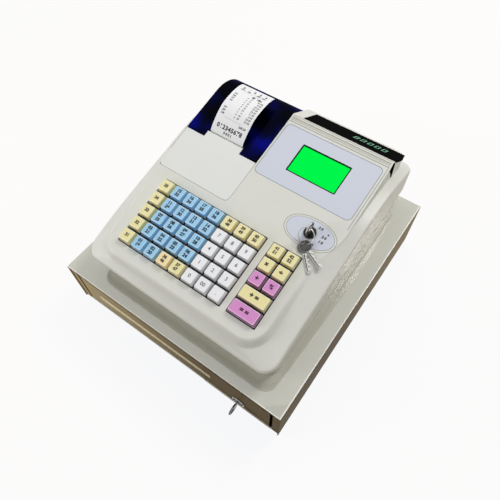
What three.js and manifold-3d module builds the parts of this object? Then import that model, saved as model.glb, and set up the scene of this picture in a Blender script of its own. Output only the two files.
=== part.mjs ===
import * as THREE from 'three';
import { mergeVertices } from 'three/addons/utils/BufferGeometryUtils.js';
import Module from 'manifold-3d';

const wasm = await Module();
wasm.setup();

// Driving dimensions in millimetres. The origin is the centre of the cash drawer's footprint on the counter,
// +X is to the operator's right, +Y is away from the operator and +Z is up.
const seatGap = 0.3;
const runGap = 0.5;
const overrun = 5;

// Steel cash drawer under the register.
const cabinet = {
  width: 380, depth: 400, height: 98, sheet: 1.2, bend: 2.5, footHeight: 3, footRadius: 11, footInset: 34,
  lip: 2, postWidth: 12, headHeight: 5, sideTurnUp: 9, frontTurnUp: 6.5,
};
const runner = { bottom: 40, height: 5.4, boxGap: 1.1, frontGap: 1.2, rear: 15 };
const drawer = {
  frontThick: 1.5, frontGap: 1, frontSetBack: 0.5, returnDepth: 8, sideRoom: 25, floorGap: 1, headRoom: 14,
  rearRoom: 32, earThick: 1.2, earReach: 8.5,
};
const mediaSlot = { left: -139, right: 71, drop: 50, height: 2.6, boxMargin: 3 };
const drawerLock = {
  fromSide: 69, radius: 8.7, holeGap: 0.3, boxHoleGap: 1.8, flangeLap: 1.6, flangeThick: 1.4, length: 13,
  bladeHalf: 3, bowRadius: 9.5, keyThick: 2, eyeRadius: 2.8, bowOut: 13,
};
const tray = {
  sideGap: 1.5, lockRoom: 2.6, rearGap: 1.3, height: 58, dividerDrop: 8, wall: 2.2, floor: 2.5,
  coinDepth: 92, coinCups: 5, noteDepth: 178, noteBays: 4, scoopRadius: 24, rimWidth: 5,
};
const clip = { width: 13, thick: 1.6, barrel: 2.6, barrelLength: 26, pivotDrop: 14.5, reach: 84, tipLift: 2.2 };
const latch = { width: 46, depth: 14, height: 34, plate: 1.5, coilRadius: 5, coilLength: 24, springReach: 7 };

// Keys: standard pitch, the two blocks and the frame under them.
const keys = {
  pitch: 21.8, rows: 5, leftColumns: 8, rightColumns: 2, blockGap: 10.2, capGap: 1.5, capTaper: 2.45, capSkirt: 1.2,
  capHeight: 7.6, capBelow: 2.2, cornerCut: 1.6, rimWidth: 0.5, stem: 6, stemGap: 0.35, stemBelow: 3.6,
  windowGap: 0.5, plateDepth: 5.7, plateThick: 2, frameWall: 1.9, frameGap: 0.45, pedestal: 13,
};

// Register: the moulded case, from the counter side of its lip to the hood.
const deck = { tiltDegrees: 12, frontRise: 25.25 };
const body = {
  setBack: 12.2, wall: 2.4, cornerRadius: 20, lipRise: 35.5, lipInset: 1, lipHeight: 3.2, lipBlend: 0.4,
  ridgeRoll: 4, ridgeDrop: 7.4, rampDelay: 64.6, rampSlope: 0.317, crestBehind: 113, crestDrop: 13, crestFall: 28.6,
  frontBand: 17.8, leftBand: 22.1, rightBand: 34.1, stepReach: 9, plateauRadius: 28, frontStep: 9.5, middleStep: 1.6,
  stepFade: 98.8, keyFrontMargin: 16.2, keyLeftMargin: 16.1, keyRightMargin: 12.7, rearLap: 1,
};
const hood = {
  leftMargin: 9.4, rightMargin: 16.2, wallFoot: 1.6, foot: 1.5, widenFrom: 99, riseFrom: 29, riseTo: 21,
  slopeDegrees: 30, crestFromRear: 58.3, slopeRun: 40.8, cornerDrop: 27.2, cornerBow: 8.5, rearWallInset: 0.8,
};
const lowerCase = {
  frontInset: 9.6, sideInset: 1.6, draft: 2.2, frontDraft: 3.4, radius: 18, floor: 2.5, bossRadius: 4, bossHeight: 6,
};

// Printer, its covers and its paper.
const cover = { behindKeys: 15.05, depth: 69.9, thick: 2.2, radius: 7, width: 123.8, sideGap: 1 };
const tongue = { reach: 9.4, fromLeft: 31.3, sideRoom: 2.75, tabWidth: 16, tabReach: 6, tabThick: 1.4, tabGap: 0.15 };
const lid = {
  wall: 2, proud: 0.5, rollBehind: 4, rollRadius: 57.5, rearDegrees: 18.195, paperGap: 4, skirtFront: 7, skirtRear: 13,
  hingeBehind: 2, hingeRise: 4.4, hingeRadius: 2.6, beadLength: 15.6, rearStrip: 12.4, edgeDrop: 9.65, ledgeFall: 1,
};
const platen = { radius: 6, shaftRadius: 2, behindEdge: 5.1, drop: 12.25, shaftReach: 3.4, boreGap: 0.3 };
const roll = { radius: 28, coreRadius: 8.5, width: 57.5, fromPlaten: 16.5, rise: 1.5, sideGap: 1.2 };
const receipt = { thick: 0.4, reach: 92, rise: 31.6 };
const printer = {
  cheek: 2, trough: 1.6, troughGap: 0.4, headThick: 4, headGap: 1.5, headRise: 2.5, headDepth: 20, mouthDrop: 5,
  cheekAhead: 15, cheekDrop: 9.5, shaftCover: 1.5,
};

// Panels, displays, locks and the parts inside.
const label = {
  fromSplit: 3.9, fromRight: 6.9, beforeLid: 12, beforeCrest: 17.3, radius: 7, thick: 0.9, recess: 1.2,
};
const lcd = { fromLeft: 37.9, fromFront: 23.9, width: 76.8, height: 46.9, frame: 0.9, depth: 6, faceDrop: 0.9 };
const customer = { fromSplit: 17.8, thick: 8, frontThick: 1.6, gap: 0.35, underGap: 0.5, endBulge: 0.7 };
const controlLock = {
  fromPlateau: 23.6, behindKeys: 34.9, radius: 7.2, holeGap: 0.4, flange: 8.6, flangeThick: 2.4, length: 17,
  bladeHalf: 3, bowRadius: 9.5, keyThick: 2, eyeRadius: 4.2, bowOut: 15,
};
const bunch = {
  ringRadius: 11, wire: 1, spareBow: 8.6, spareHole: 2.6, spareThick: 1.8, bladeLength: 28.5, bladeWidth: 5.6,
  bittingDepth: 1.6, layGap: 0.4, stackStep: 1.5, spareTurnsDegrees: [43, 65],
};
const board = { sideRoom: 31.6, depth: 110, beforePrinter: 12, thick: 1.6, chip: 14, chipHeight: 3, bossInset: 10 };
const ports = { x: -70, width: 76, height: 26, thick: 3.4, rise: 15, inletWidth: 16, inletHeight: 11, inset: 2.4 };

// Places that follow from the driving dimensions: first the cash drawer.
const degree = Math.PI / 180;
const inner = cabinet.width / 2 - cabinet.sheet;
const frameFace = -cabinet.depth / 2 + cabinet.lip;
const openingHalf = cabinet.width / 2 - cabinet.postWidth;
const openingTop = cabinet.height - cabinet.sheet - cabinet.headHeight;
const panelFace = frameFace + drawer.frontSetBack;
const panelBack = panelFace + drawer.frontThick;
const panelLow = cabinet.footHeight + cabinet.frontTurnUp + drawer.frontGap;
const boxFront = panelBack + seatGap;
const boxLow = panelLow + drawer.frontThick + drawer.floorGap;
const boxRear = cabinet.depth / 2 - drawer.rearRoom;
const boxHalf = cabinet.width / 2 - drawer.sideRoom;
const boxTop = cabinet.height - drawer.headRoom;
const slotZ = cabinet.height - mediaSlot.drop;
const drawerLockX = cabinet.width / 2 - drawerLock.fromSide;
const drawerLockZ = boxLow + cabinet.sheet + drawerLock.radius + drawerLock.boxHoleGap + seatGap;

// The register's widths, from the keys outward.
const keysWidth = (keys.leftColumns + keys.rightColumns) * keys.pitch + keys.blockGap;
const plateauWidth = keysWidth + body.keyLeftMargin + body.keyRightMargin;
const halfWidth = (plateauWidth + body.leftBand + body.rightBand) / 2;
const plateauLeft = -halfWidth + body.leftBand;
const plateauRight = halfWidth - body.rightBand;
const leftBlock = plateauLeft + body.keyLeftMargin;
const rightBlock = leftBlock + keys.leftColumns * keys.pitch + keys.blockGap;
const hoodLeft = -halfWidth + hood.leftMargin;
const hoodRight = halfWidth - hood.rightMargin;

// The register's depths, from the front lip backward.
const deckSlope = Math.tan(deck.tiltDegrees * degree);
const deckCos = Math.cos(deck.tiltDegrees * degree);
const deckSin = Math.sin(deck.tiltDegrees * degree);
const deckWall = body.wall * deckCos;
const keysDepth = keys.rows * keys.pitch * deckCos;
const toKeys = body.frontBand + body.keyFrontMargin;
const toLid = toKeys + keysDepth + cover.behindKeys + cover.depth;
const toPlaten = toLid + tongue.reach + lid.paperGap + platen.behindEdge;
const toRoll = toPlaten + platen.radius + roll.fromPlaten + roll.radius;
const toLidCentre = toRoll + lid.rollBehind + lid.rollRadius * deckSin;
const bodyDepth = toLidCentre + lid.rollRadius * Math.cos(lid.rearDegrees * degree) + lid.rearStrip;
const front = body.setBack - bodyDepth / 2;
const rear = front + bodyDepth;
const plateauFront = front + body.frontBand;
const coverFront = front + toLid - cover.depth;
const lidFront = front + toLid;
const tongueRear = lidFront + tongue.reach;
const paperEdge = tongueRear + lid.paperGap;
const lidRear = rear - lid.rearStrip;
const crestY = rear - hood.crestFromRear;
const slopeEndY = crestY + hood.slopeRun;
const ridgeCrestY = rear - body.crestBehind;

// Heights.
const caseBottom = cabinet.height + seatGap;
const partingZ = cabinet.height + body.lipRise;
const caseTop = partingZ - seatGap;
const deckHeight = partingZ + deck.frontRise - deckSlope * plateauFront;

function deckZ(y) {
  return deckHeight + deckSlope * y;
}

// How far up the slope a place at depth y lies.
function slopeV(y) {
  return y / deckCos;
}

const crestZ = deckZ(ridgeCrestY) - body.crestDrop;
const hoodCrestZ = deckZ(crestY);
const hoodEndZ = hoodCrestZ - Math.tan(hood.slopeDegrees * degree) * hood.slopeRun;
const lidCentre = {
  y: front + toLidCentre,
  z: deckZ(front + toRoll + lid.rollBehind) + lid.proud / deckCos - lid.rollRadius * deckCos,
};
const lidEdgeZ = lidCentre.z + lid.rollRadius * Math.sin(lid.rearDegrees * degree);
const ledgeZ = lidEdgeZ - lid.edgeDrop;
const rollCentre = { y: front + toRoll, z: lidCentre.z + roll.rise };
const platenCentre = { y: front + toPlaten, z: deckZ(front + toPlaten) - platen.drop };

// Places on the deck.
const keyFrontV = slopeV(front + toKeys);
const keyRearV = keyFrontV + keys.rows * keys.pitch;
const coverLeft = hoodLeft + cover.sideGap;
const coverRight = coverLeft + cover.width;
const hoodDivide = coverRight + runGap;
const tongueLeft = coverLeft + tongue.fromLeft;
const tongueRight = tongueLeft + roll.width + 2 * tongue.sideRoom;
const rollMiddle = (tongueLeft + tongueRight) / 2;
const labelEdges = {
  left: coverRight + label.fromSplit, right: hoodRight - label.fromRight,
  front: slopeV(lidFront - label.beforeLid), rear: slopeV(crestY - label.beforeCrest),
};
const screen = {
  left: labelEdges.left + lcd.fromLeft, right: labelEdges.left + lcd.fromLeft + lcd.width,
  front: labelEdges.front + lcd.fromFront, rear: labelEdges.front + lcd.fromFront + lcd.height,
};
const lockX = plateauRight - controlLock.fromPlateau;
const lockV = keyRearV + controlLock.behindKeys;

// Finishes, one per kind of surface.
const finish = {
  shell: new THREE.MeshStandardMaterial({ color: 0xd9d6cb, roughness: 0.42, metalness: 0 }),
  steel: new THREE.MeshStandardMaterial({ color: 0xcfcdc0, roughness: 0.35, metalness: 0.2 }),
  bare: new THREE.MeshStandardMaterial({ color: 0xa9abad, roughness: 0.35, metalness: 0.9 }),
  black: new THREE.MeshStandardMaterial({ color: 0x17181a, roughness: 0.5, metalness: 0 }),
  gloss: new THREE.MeshStandardMaterial({ color: 0x060708, roughness: 0.12, metalness: 0 }),
  blueLid: new THREE.MeshStandardMaterial({ color: 0x0c1550, roughness: 0.15, metalness: 0 }),
  blueKey: new THREE.MeshStandardMaterial({ color: 0x7fc1e6, roughness: 0.5, metalness: 0 }),
  yellowKey: new THREE.MeshStandardMaterial({ color: 0xead68a, roughness: 0.5, metalness: 0 }),
  whiteKey: new THREE.MeshStandardMaterial({ color: 0xe6e7ec, roughness: 0.5, metalness: 0 }),
  pinkKey: new THREE.MeshStandardMaterial({ color: 0xdc86c6, roughness: 0.5, metalness: 0 }),
  paper: new THREE.MeshStandardMaterial({ color: 0xf4f4f2, roughness: 0.8, metalness: 0 }),
  rubber: new THREE.MeshStandardMaterial({ color: 0x222222, roughness: 0.8, metalness: 0 }),
  board: new THREE.MeshStandardMaterial({ color: 0x1d6b3a, roughness: 0.6, metalness: 0 }),
  label: new THREE.MeshStandardMaterial({ color: 0xcfd2e2, roughness: 0.4, metalness: 0 }),
  screen: new THREE.MeshStandardMaterial({ color: 0x22e03a, roughness: 0.25, metalness: 0 }),
};

// Conversions between three.js geometry and closed solids.
const mergeReach = 1e-4;

function toSolid(geometry) {
  const bare = geometry.clone();
  bare.deleteAttribute('normal');
  bare.deleteAttribute('uv');
  const merged = mergeVertices(bare, mergeReach);
  return new wasm.Manifold(new wasm.Mesh({
    numProp: 3,
    vertProperties: new Float32Array(merged.attributes.position.array),
    triVerts: new Uint32Array(merged.index.array),
  }));
}

function toGeometry(solid) {
  const mesh = solid.getMesh();
  const geometry = new THREE.BufferGeometry();
  geometry.setAttribute('position', new THREE.BufferAttribute(new Float32Array(mesh.vertProperties), mesh.numProp));
  geometry.setIndex(new THREE.BufferAttribute(new Uint32Array(mesh.triVerts), 1));
  geometry.computeVertexNormals();
  return geometry;
}

function join(...solids) {
  return solids.reduce((sum, next) => sum.add(next));
}

// Share of half a slot's height that its rounded ends take.
const nearlyRoundShare = 0.95;

// A shape's outline from a list of [a, b] points.
function outline(points) {
  return new THREE.Shape(points.map(([a, b]) => new THREE.Vector2(a, b)));
}

// A prism along X whose outline is given in Y and Z.
function prismX(shape, x0, x1, curveSegments) {
  const geometry = new THREE.ExtrudeGeometry(shape, { depth: x1 - x0, bevelEnabled: false, curveSegments });
  const turn = new THREE.Matrix4().set(0, 0, 1, x0, 1, 0, 0, 0, 0, 1, 0, 0, 0, 0, 0, 1);
  return toSolid(geometry.applyMatrix4(turn));
}

// A prism along Y whose outline is given in X and Z.
function prismY(shape, y0, y1, curveSegments) {
  const geometry = new THREE.ExtrudeGeometry(shape, { depth: y1 - y0, bevelEnabled: false, curveSegments });
  const turn = new THREE.Matrix4().set(1, 0, 0, 0, 0, 0, -1, y1, 0, 1, 0, 0, 0, 0, 0, 1);
  return toSolid(geometry.applyMatrix4(turn));
}

// A prism along Z whose outline is given in X and Y.
function prismZ(shape, z0, z1, curveSegments) {
  const geometry = new THREE.ExtrudeGeometry(shape, { depth: z1 - z0, bevelEnabled: false, curveSegments });
  return toSolid(geometry.translate(0, 0, z0));
}

function block(x0, x1, y0, y1, z0, z1) {
  const geometry = new THREE.BoxGeometry(x1 - x0, y1 - y0, z1 - z0);
  return toSolid(geometry.translate((x0 + x1) / 2, (y0 + y1) / 2, (z0 + z1) / 2));
}

function roundedRectangle(x0, x1, y0, y1, radius) {
  const shape = new THREE.Shape();
  shape.moveTo(x0 + radius, y0);
  shape.lineTo(x1 - radius, y0);
  shape.absarc(x1 - radius, y0 + radius, radius, -Math.PI / 2, 0, false);
  shape.lineTo(x1, y1 - radius);
  shape.absarc(x1 - radius, y1 - radius, radius, 0, Math.PI / 2, false);
  shape.lineTo(x0 + radius, y1);
  shape.absarc(x0 + radius, y1 - radius, radius, Math.PI / 2, Math.PI, false);
  shape.lineTo(x0, y0 + radius);
  shape.absarc(x0 + radius, y0 + radius, radius, Math.PI, Math.PI * 1.5, false);
  return shape;
}

// Round bars along each axis.
function barX(radius, x0, x1, y, z, sides = 20) {
  const geometry = new THREE.CylinderGeometry(radius, radius, x1 - x0, sides);
  return toSolid(geometry.rotateZ(Math.PI / 2).translate((x0 + x1) / 2, y, z));
}

function barY(radius, y0, y1, x, z, sides = 20) {
  const geometry = new THREE.CylinderGeometry(radius, radius, y1 - y0, sides);
  return toSolid(geometry.translate(x, (y0 + y1) / 2, z));
}

function barZ(radius, z0, z1, x, y, sides = 20) {
  const geometry = new THREE.CylinderGeometry(radius, radius, z1 - z0, sides);
  return toSolid(geometry.rotateX(Math.PI / 2).translate(x, y, (z0 + z1) / 2));
}

// A closed solid lofted through rings of points, lowest ring first, each counterclockwise from above.
function loft(rings) {
  const count = rings[0].length;
  const positions = rings.flat().flatMap((point) => [point.x, point.y, point.z]);
  const index = [];
  for (let level = 0; level + 1 < rings.length; level += 1) {
    for (let step = 0; step < count; step += 1) {
      const a = level * count + step;
      const b = level * count + (step + 1) % count;
      index.push(a, b, b + count, a, b + count, a + count);
    }
  }
  const flat = (ring) => ring.map((point) => new THREE.Vector2(point.x, point.y));
  const top = (rings.length - 1) * count;
  THREE.ShapeUtils.triangulateShape(flat(rings[0]), []).forEach(([a, b, c]) => index.push(a, c, b));
  THREE.ShapeUtils.triangulateShape(flat(rings[rings.length - 1]), []).forEach(([a, b, c]) => {
    index.push(top + a, top + b, top + c);
  });
  const geometry = new THREE.BufferGeometry();
  geometry.setAttribute('position', new THREE.Float32BufferAttribute(positions, 3));
  geometry.setIndex(index);
  return toSolid(geometry);
}

// Points of a rounded rectangle, counterclockwise, with its long sides divided so that they can follow a curve.
function ringPoints(left, right, front, rear, radius, cornerSteps, sideSteps, endSteps) {
  const points = [];
  const corners = [
    [right - radius, front + radius, -90], [right - radius, rear - radius, 0],
    [left + radius, rear - radius, 90], [left + radius, front + radius, 180],
  ];
  const steps = [sideSteps, endSteps, sideSteps, endSteps];
  corners.forEach(([x, y, start], corner) => {
    for (let step = 0; step <= cornerSteps; step += 1) {
      const angle = (start + 90 * step / cornerSteps) * degree;
      points.push([x + radius * Math.cos(angle), y + radius * Math.sin(angle)]);
    }
    const [fromX, fromY] = points[points.length - 1];
    const [nextX, nextY, nextStart] = corners[(corner + 1) % corners.length];
    const toX = nextX + radius * Math.cos(nextStart * degree);
    const toY = nextY + radius * Math.sin(nextStart * degree);
    for (let step = 1; step < steps[corner]; step += 1) {
      const share = step / steps[corner];
      points.push([fromX + (toX - fromX) * share, fromY + (toY - fromY) * share]);
    }
  });
  return points;
}

// The group that lies in the deck plane: local X as the part, local Y up the slope, local Z out of the deck.
const deckFrame = new THREE.Matrix4().makeRotationX(deck.tiltDegrees * degree).setPosition(0, 0, deckHeight);

function onDeck(solid) {
  return solid.transform([...deckFrame.elements]);
}

const register = new THREE.Group();
const deckGroup = new THREE.Group();
deckGroup.applyMatrix4(deckFrame);
register.add(deckGroup);

function addPiece(name, solid, material, parent = register) {
  const mesh = new THREE.Mesh(toGeometry(solid), material.clone());
  mesh.name = name;
  parent.add(mesh);
  return mesh;
}

// Cash drawer cabinet: a folded steel cover with a front frame, open underneath.
function makeCabinet() {
  const section = (inset, low) => {
    const half = cabinet.width / 2 - inset;
    const radius = cabinet.bend - inset;
    const top = cabinet.height - inset;
    const shape = new THREE.Shape();
    shape.moveTo(-half, low);
    shape.lineTo(half, low);
    shape.lineTo(half, top - radius);
    shape.absarc(half - radius, top - radius, radius, 0, Math.PI / 2, false);
    shape.lineTo(-half + radius, top);
    shape.absarc(-half + radius, top - radius, radius, Math.PI / 2, Math.PI, false);
    return shape;
  };
  const { sheet, footHeight, depth } = cabinet;
  const face = -depth / 2;
  const skin = prismY(section(0, footHeight), face, depth / 2, 4);
  const space = prismY(section(sheet, -overrun), frameFace + sheet, depth / 2 - sheet, 4);
  const lip = prismY(section(sheet, -overrun), face - overrun, frameFace, 4);
  const opening = block(-openingHalf, openingHalf, face - overrun, frameFace + overrun, -overrun, openingTop);
  return skin.subtract(join(space, lip, opening));
}

// Cabinet base pan with turned-up edges and four pressed feet.
function makeBase() {
  const half = inner - seatGap;
  const { sheet, sideTurnUp, frontTurnUp, footInset, footRadius, footHeight, width, depth } = cabinet;
  const panFront = frameFace + sheet + seatGap;
  const panRear = depth / 2 - sheet - seatGap;
  const top = footHeight + sheet;
  const lipHalf = openingHalf - seatGap;
  const plate = block(-half, half, panFront, panRear, footHeight, top);
  const sill = block(-lipHalf, lipHalf, frameFace, panFront + sheet, footHeight, top);
  const turnUp = block(-lipHalf, lipHalf, frameFace, frameFace + sheet, footHeight, footHeight + frontTurnUp);
  const sides = [-1, 1].map((side) => {
    const outer = side * half;
    const inside = side * (half - sheet);
    return block(
      Math.min(outer, inside), Math.max(outer, inside), panFront, panRear, footHeight, footHeight + sideTurnUp);
  });
  const feet = [-1, 1].flatMap((sx) => [-1, 1].map((sy) => barZ(
    footRadius, 0, top, sx * (width / 2 - footInset), sy * (depth / 2 - footInset))));
  return join(plate, sill, turnUp, ...sides, ...feet);
}

// Steel channel that carries one side of the drawer.
function makeRunner(side) {
  const { sheet } = cabinet;
  const wall = inner - seatGap;
  const tip = boxHalf + runner.boxGap;
  const low = runner.bottom;
  const high = runner.bottom + runner.height;
  const shape = outline([
    [side * wall, low], [side * tip, low], [side * tip, low + sheet], [side * (wall - sheet), low + sheet],
    [side * (wall - sheet), high - sheet], [side * tip, high - sheet], [side * tip, high], [side * wall, high],
  ]);
  const start = panelBack + drawer.returnDepth + runner.frontGap;
  return prismY(shape, start, cabinet.depth / 2 - sheet - runner.rear);
}

// Drawer front: a pressed panel with returns, a media slot and the lock hole.
function makeDrawerFront() {
  const half = openingHalf - drawer.frontGap;
  const low = panelLow;
  const high = openingTop - drawer.frontGap;
  const thick = drawer.frontThick;
  const returnEnd = panelBack + drawer.returnDepth;
  const shell = prismY(roundedRectangle(-half, half, low, high, thick), panelFace, returnEnd, 3);
  const hollow = block(-half + thick, half - thick, panelBack, returnEnd + overrun, low + thick, high - thick);
  const slotHalf = mediaSlot.height / 2;
  const slotShape = roundedRectangle(
    mediaSlot.left, mediaSlot.right, slotZ - slotHalf, slotZ + slotHalf, slotHalf * nearlyRoundShare);
  const slot = prismY(slotShape, panelFace - overrun, panelBack + overrun, 4);
  const lockHole = barY(
    drawerLock.radius + drawerLock.holeGap, panelFace - overrun, panelBack + overrun, drawerLockX, drawerLockZ, 28);
  return shell.subtract(join(hollow, slot, lockHole));
}

// Drawer box: folded steel, open on top, with an ear along each side that rides in the runner.
function makeDrawerBox() {
  const { sheet } = cabinet;
  const low = boxLow;
  const outer = block(-boxHalf, boxHalf, boxFront, boxRear, low, boxTop);
  const space = block(
    -boxHalf + sheet, boxHalf - sheet, boxFront + sheet, boxRear - sheet, low + sheet, boxTop + overrun);
  const earLow = runner.bottom + sheet + seatGap;
  const ears = [-1, 1].map((side) => {
    const root = side * (boxHalf - sheet / 2);
    const tip = side * (boxHalf + drawer.earReach);
    return block(
      Math.min(root, tip), Math.max(root, tip), panelBack + drawer.returnDepth + overrun, boxRear,
      earLow, earLow + drawer.earThick);
  });
  const margin = mediaSlot.boxMargin;
  const slot = block(
    mediaSlot.left - margin, mediaSlot.right + margin, boxFront - overrun, boxFront + sheet + overrun,
    slotZ - margin, slotZ + margin);
  const lockHole = barY(
    drawerLock.radius + drawerLock.boxHoleGap, boxFront - overrun, boxFront + sheet + overrun,
    drawerLockX, drawerLockZ, 28);
  return join(outer.subtract(space), ...ears).subtract(join(slot, lockHole));
}

// The places of the cash tray's walls, shared by the tray and its note clips.
const trayHalf = boxHalf - cabinet.sheet - tray.sideGap;
const trayLow = boxLow + cabinet.sheet + seatGap;
const trayFloor = trayLow + tray.floor;
const dividerTop = trayLow + tray.height - tray.dividerDrop;
const trayFront = panelFace + drawerLock.length + tray.lockRoom;
const trayRear = boxRear - cabinet.sheet - tray.rearGap;
const coinStart = trayFront + tray.wall;
const coinEnd = coinStart + tray.coinDepth;
const noteStart = coinEnd + tray.wall;
const noteEnd = noteStart + tray.noteDepth;
const binStart = noteEnd + tray.wall;
const binEnd = trayRear - tray.wall;

function bayEdges(count) {
  const span = 2 * (trayHalf - tray.wall);
  const bay = (span - (count - 1) * tray.wall) / count;
  return Array.from({ length: count }, (_, number) => {
    const left = -trayHalf + tray.wall + number * (bay + tray.wall);
    return [left, left + bay];
  });
}

// Cash tray: a moulded insert with scooped coin cups in front, note bays behind them and a long bin at the rear.
function makeTray() {
  const top = trayLow + tray.height;
  const outer = block(-trayHalf, trayHalf, trayFront, trayRear, trayLow, top);
  const cups = bayEdges(tray.coinCups).map(([left, right]) => {
    const radius = tray.scoopRadius;
    const shape = new THREE.Shape();
    shape.moveTo(coinEnd, top + overrun);
    shape.lineTo(coinStart, top + overrun);
    shape.lineTo(coinStart, trayFloor + radius);
    shape.absarc(coinStart + radius, trayFloor + radius, radius, Math.PI, Math.PI * 1.5, false);
    shape.lineTo(coinEnd, trayFloor);
    return prismX(shape, left, right, 5);
  });
  const bays = bayEdges(tray.noteBays).map(([left, right]) => block(
    left, right, noteStart, noteEnd, trayFloor, top + overrun));
  const bin = block(-trayHalf + tray.wall, trayHalf - tray.wall, binStart, binEnd, trayFloor, top + overrun);
  const lowered = block(
    -trayHalf + tray.rimWidth, trayHalf - tray.rimWidth, coinStart + tray.rimWidth, binStart,
    dividerTop, top + overrun);
  return outer.subtract(join(...cups, ...bays, bin, lowered));
}

// One note clip: a barrel at the rear of a note bay and a sprung arm that lies down to the bay's floor.
const clipPivot = { y: noteEnd - seatGap - clip.barrel, z: dividerTop - clip.pivotDrop };
const clipBendShare = 0.12;

function makeNoteClip(number) {
  const [left, right] = bayEdges(tray.noteBays)[number];
  const x = (left + right) / 2;
  const low = trayFloor + seatGap;
  const tipY = clipPivot.y - clip.reach;
  const bendY = clipPivot.y - clip.reach * (1 - clipBendShare);
  const { thick, tipLift, width, barrelLength } = clip;
  const arm = outline([
    [clipPivot.y, clipPivot.z - thick / 2], [clipPivot.y, clipPivot.z + thick / 2],
    [bendY, low + thick], [tipY, low + thick + tipLift], [tipY, low + tipLift], [bendY, low],
  ]);
  const barrel = barX(clip.barrel, x - barrelLength / 2, x + barrelLength / 2, clipPivot.y, clipPivot.z, 12);
  return join(prismX(arm, x - width / 2, x + width / 2), barrel);
}

// Drawer lock: the barrel in the drawer front with its key in it.
function makeDrawerLock() {
  const { radius, flangeLap, flangeThick, length, bladeHalf, bowRadius, keyThick, eyeRadius, bowOut } = drawerLock;
  const x = drawerLockX;
  const z = drawerLockZ;
  const face = panelFace - seatGap;
  const bowY = face - bowOut;
  const flange = barY(radius + drawerLock.holeGap + flangeLap, face - flangeThick, face, x, z, 28);
  const barrel = barY(radius, face - seatGap, panelFace + length, x, z, 24);
  const bow = barX(bowRadius, x - keyThick / 2, x + keyThick / 2, bowY, z);
  const blade = block(x - keyThick / 2, x + keyThick / 2, bowY, face - seatGap, z - bladeHalf, z + bladeHalf);
  const eye = barX(eyeRadius, x - overrun, x + overrun, bowY - bowRadius + 2 * eyeRadius, z, 12);
  return join(flange, barrel, bow, blade).subtract(eye);
}

// Latch unit behind the drawer: bracket, solenoid coil and the kick spring that pushes the drawer out.
function makeLatch() {
  const { width, depth, height, plate, coilRadius, coilLength, springReach } = latch;
  const low = cabinet.footHeight + cabinet.sheet + seatGap;
  const back = cabinet.depth / 2 - cabinet.sheet - seatGap;
  const near = boxRear + seatGap;
  const half = width / 2;
  const top = low + height;
  const foot = block(-half, half, back - depth, back, low, low + plate);
  const upright = block(-half, half, back - plate, back, low, top);
  const coilZ = low + height / 2;
  const coil = barX(coilRadius, -coilLength / 2, coilLength / 2, back - depth / 2, coilZ, 16);
  const yoke = block(
    -coilLength / 2, coilLength / 2, back - depth / 2, back - plate / 2, coilZ - plate, coilZ + plate);
  const spring = outline([
    [back - plate, top], [back - plate, top - plate], [near + springReach, top - springReach],
    [near, top], [near, top + plate], [near + springReach, top],
  ]);
  return join(foot, upright, coil, yoke, prismX(spring, half - depth, half));
}

// Lower case: a tapered tub that stands on the cabinet, its front set back under the upper case's lip.
function makeLowerCase() {
  const { sideInset, frontInset, draft, frontDraft, radius, floor, bossRadius, bossHeight } = lowerCase;
  const ring = (z, inset, frontStepBack, corner) => ringPoints(
    -halfWidth + inset, halfWidth - inset, front + frontStepBack, rear - inset / 2, corner, 4, 2, 2,
  ).map(([x, y]) => new THREE.Vector3(x, y, z));
  const outer = loft([
    ring(caseBottom, sideInset + draft, frontInset + frontDraft, radius),
    ring(caseTop, sideInset, frontInset, radius),
  ]);
  const { wall } = body;
  const hollow = loft([
    ring(caseBottom + floor, sideInset + draft + wall, frontInset + frontDraft + wall, radius - wall),
    ring(caseTop + wall, sideInset + wall, frontInset + wall, radius - wall),
  ]);
  const bosses = boardCorners.map(([x, y]) => barZ(
    bossRadius, caseBottom + floor / 2, caseBottom + floor + bossHeight, x, y, 10));
  const rearWall = rear - sideInset / 2;
  const portHole = block(
    ports.x - ports.width / 2, ports.x + ports.width / 2, rearWall - wall - overrun, rearWall + overrun,
    portZ - ports.height / 2, portZ + ports.height / 2);
  return join(outer.subtract(hollow), ...bosses).subtract(portHole);
}

// Height of the case's outer ridge at depth y.
function ridgeZ(y) {
  const rampStart = front + body.rampDelay;
  const deckLine = deckZ(y) - body.ridgeDrop;
  const ramp = deckZ(rampStart) - body.ridgeDrop + body.rampSlope * (y - rampStart);
  const fallShare = Math.max(0, y - ridgeCrestY) / body.crestBehind;
  const crest = crestZ - body.crestFall * fallShare * fallShare;
  return Math.min(deckLine, ramp, crest);
}

// Depth of the step between the deck plane and the side band at depth y: deep in front, faint beside the keys,
// and then the height of the hood's and the lid's walls.
function stepDepth(y) {
  const fadeStart = plateauFront + body.cornerRadius;
  const fade = THREE.MathUtils.smoothstep(y, fadeStart, fadeStart + body.stepFade);
  const nearby = body.frontStep + (body.middleStep - body.frontStep) * fade;
  const wall = deckZ(y) - ridgeZ(y) - hood.foot;
  const turn = THREE.MathUtils.smoothstep(y, lidFront - hood.riseFrom, lidFront + hood.riseTo);
  return nearby + (wall - nearby) * turn;
}

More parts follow.
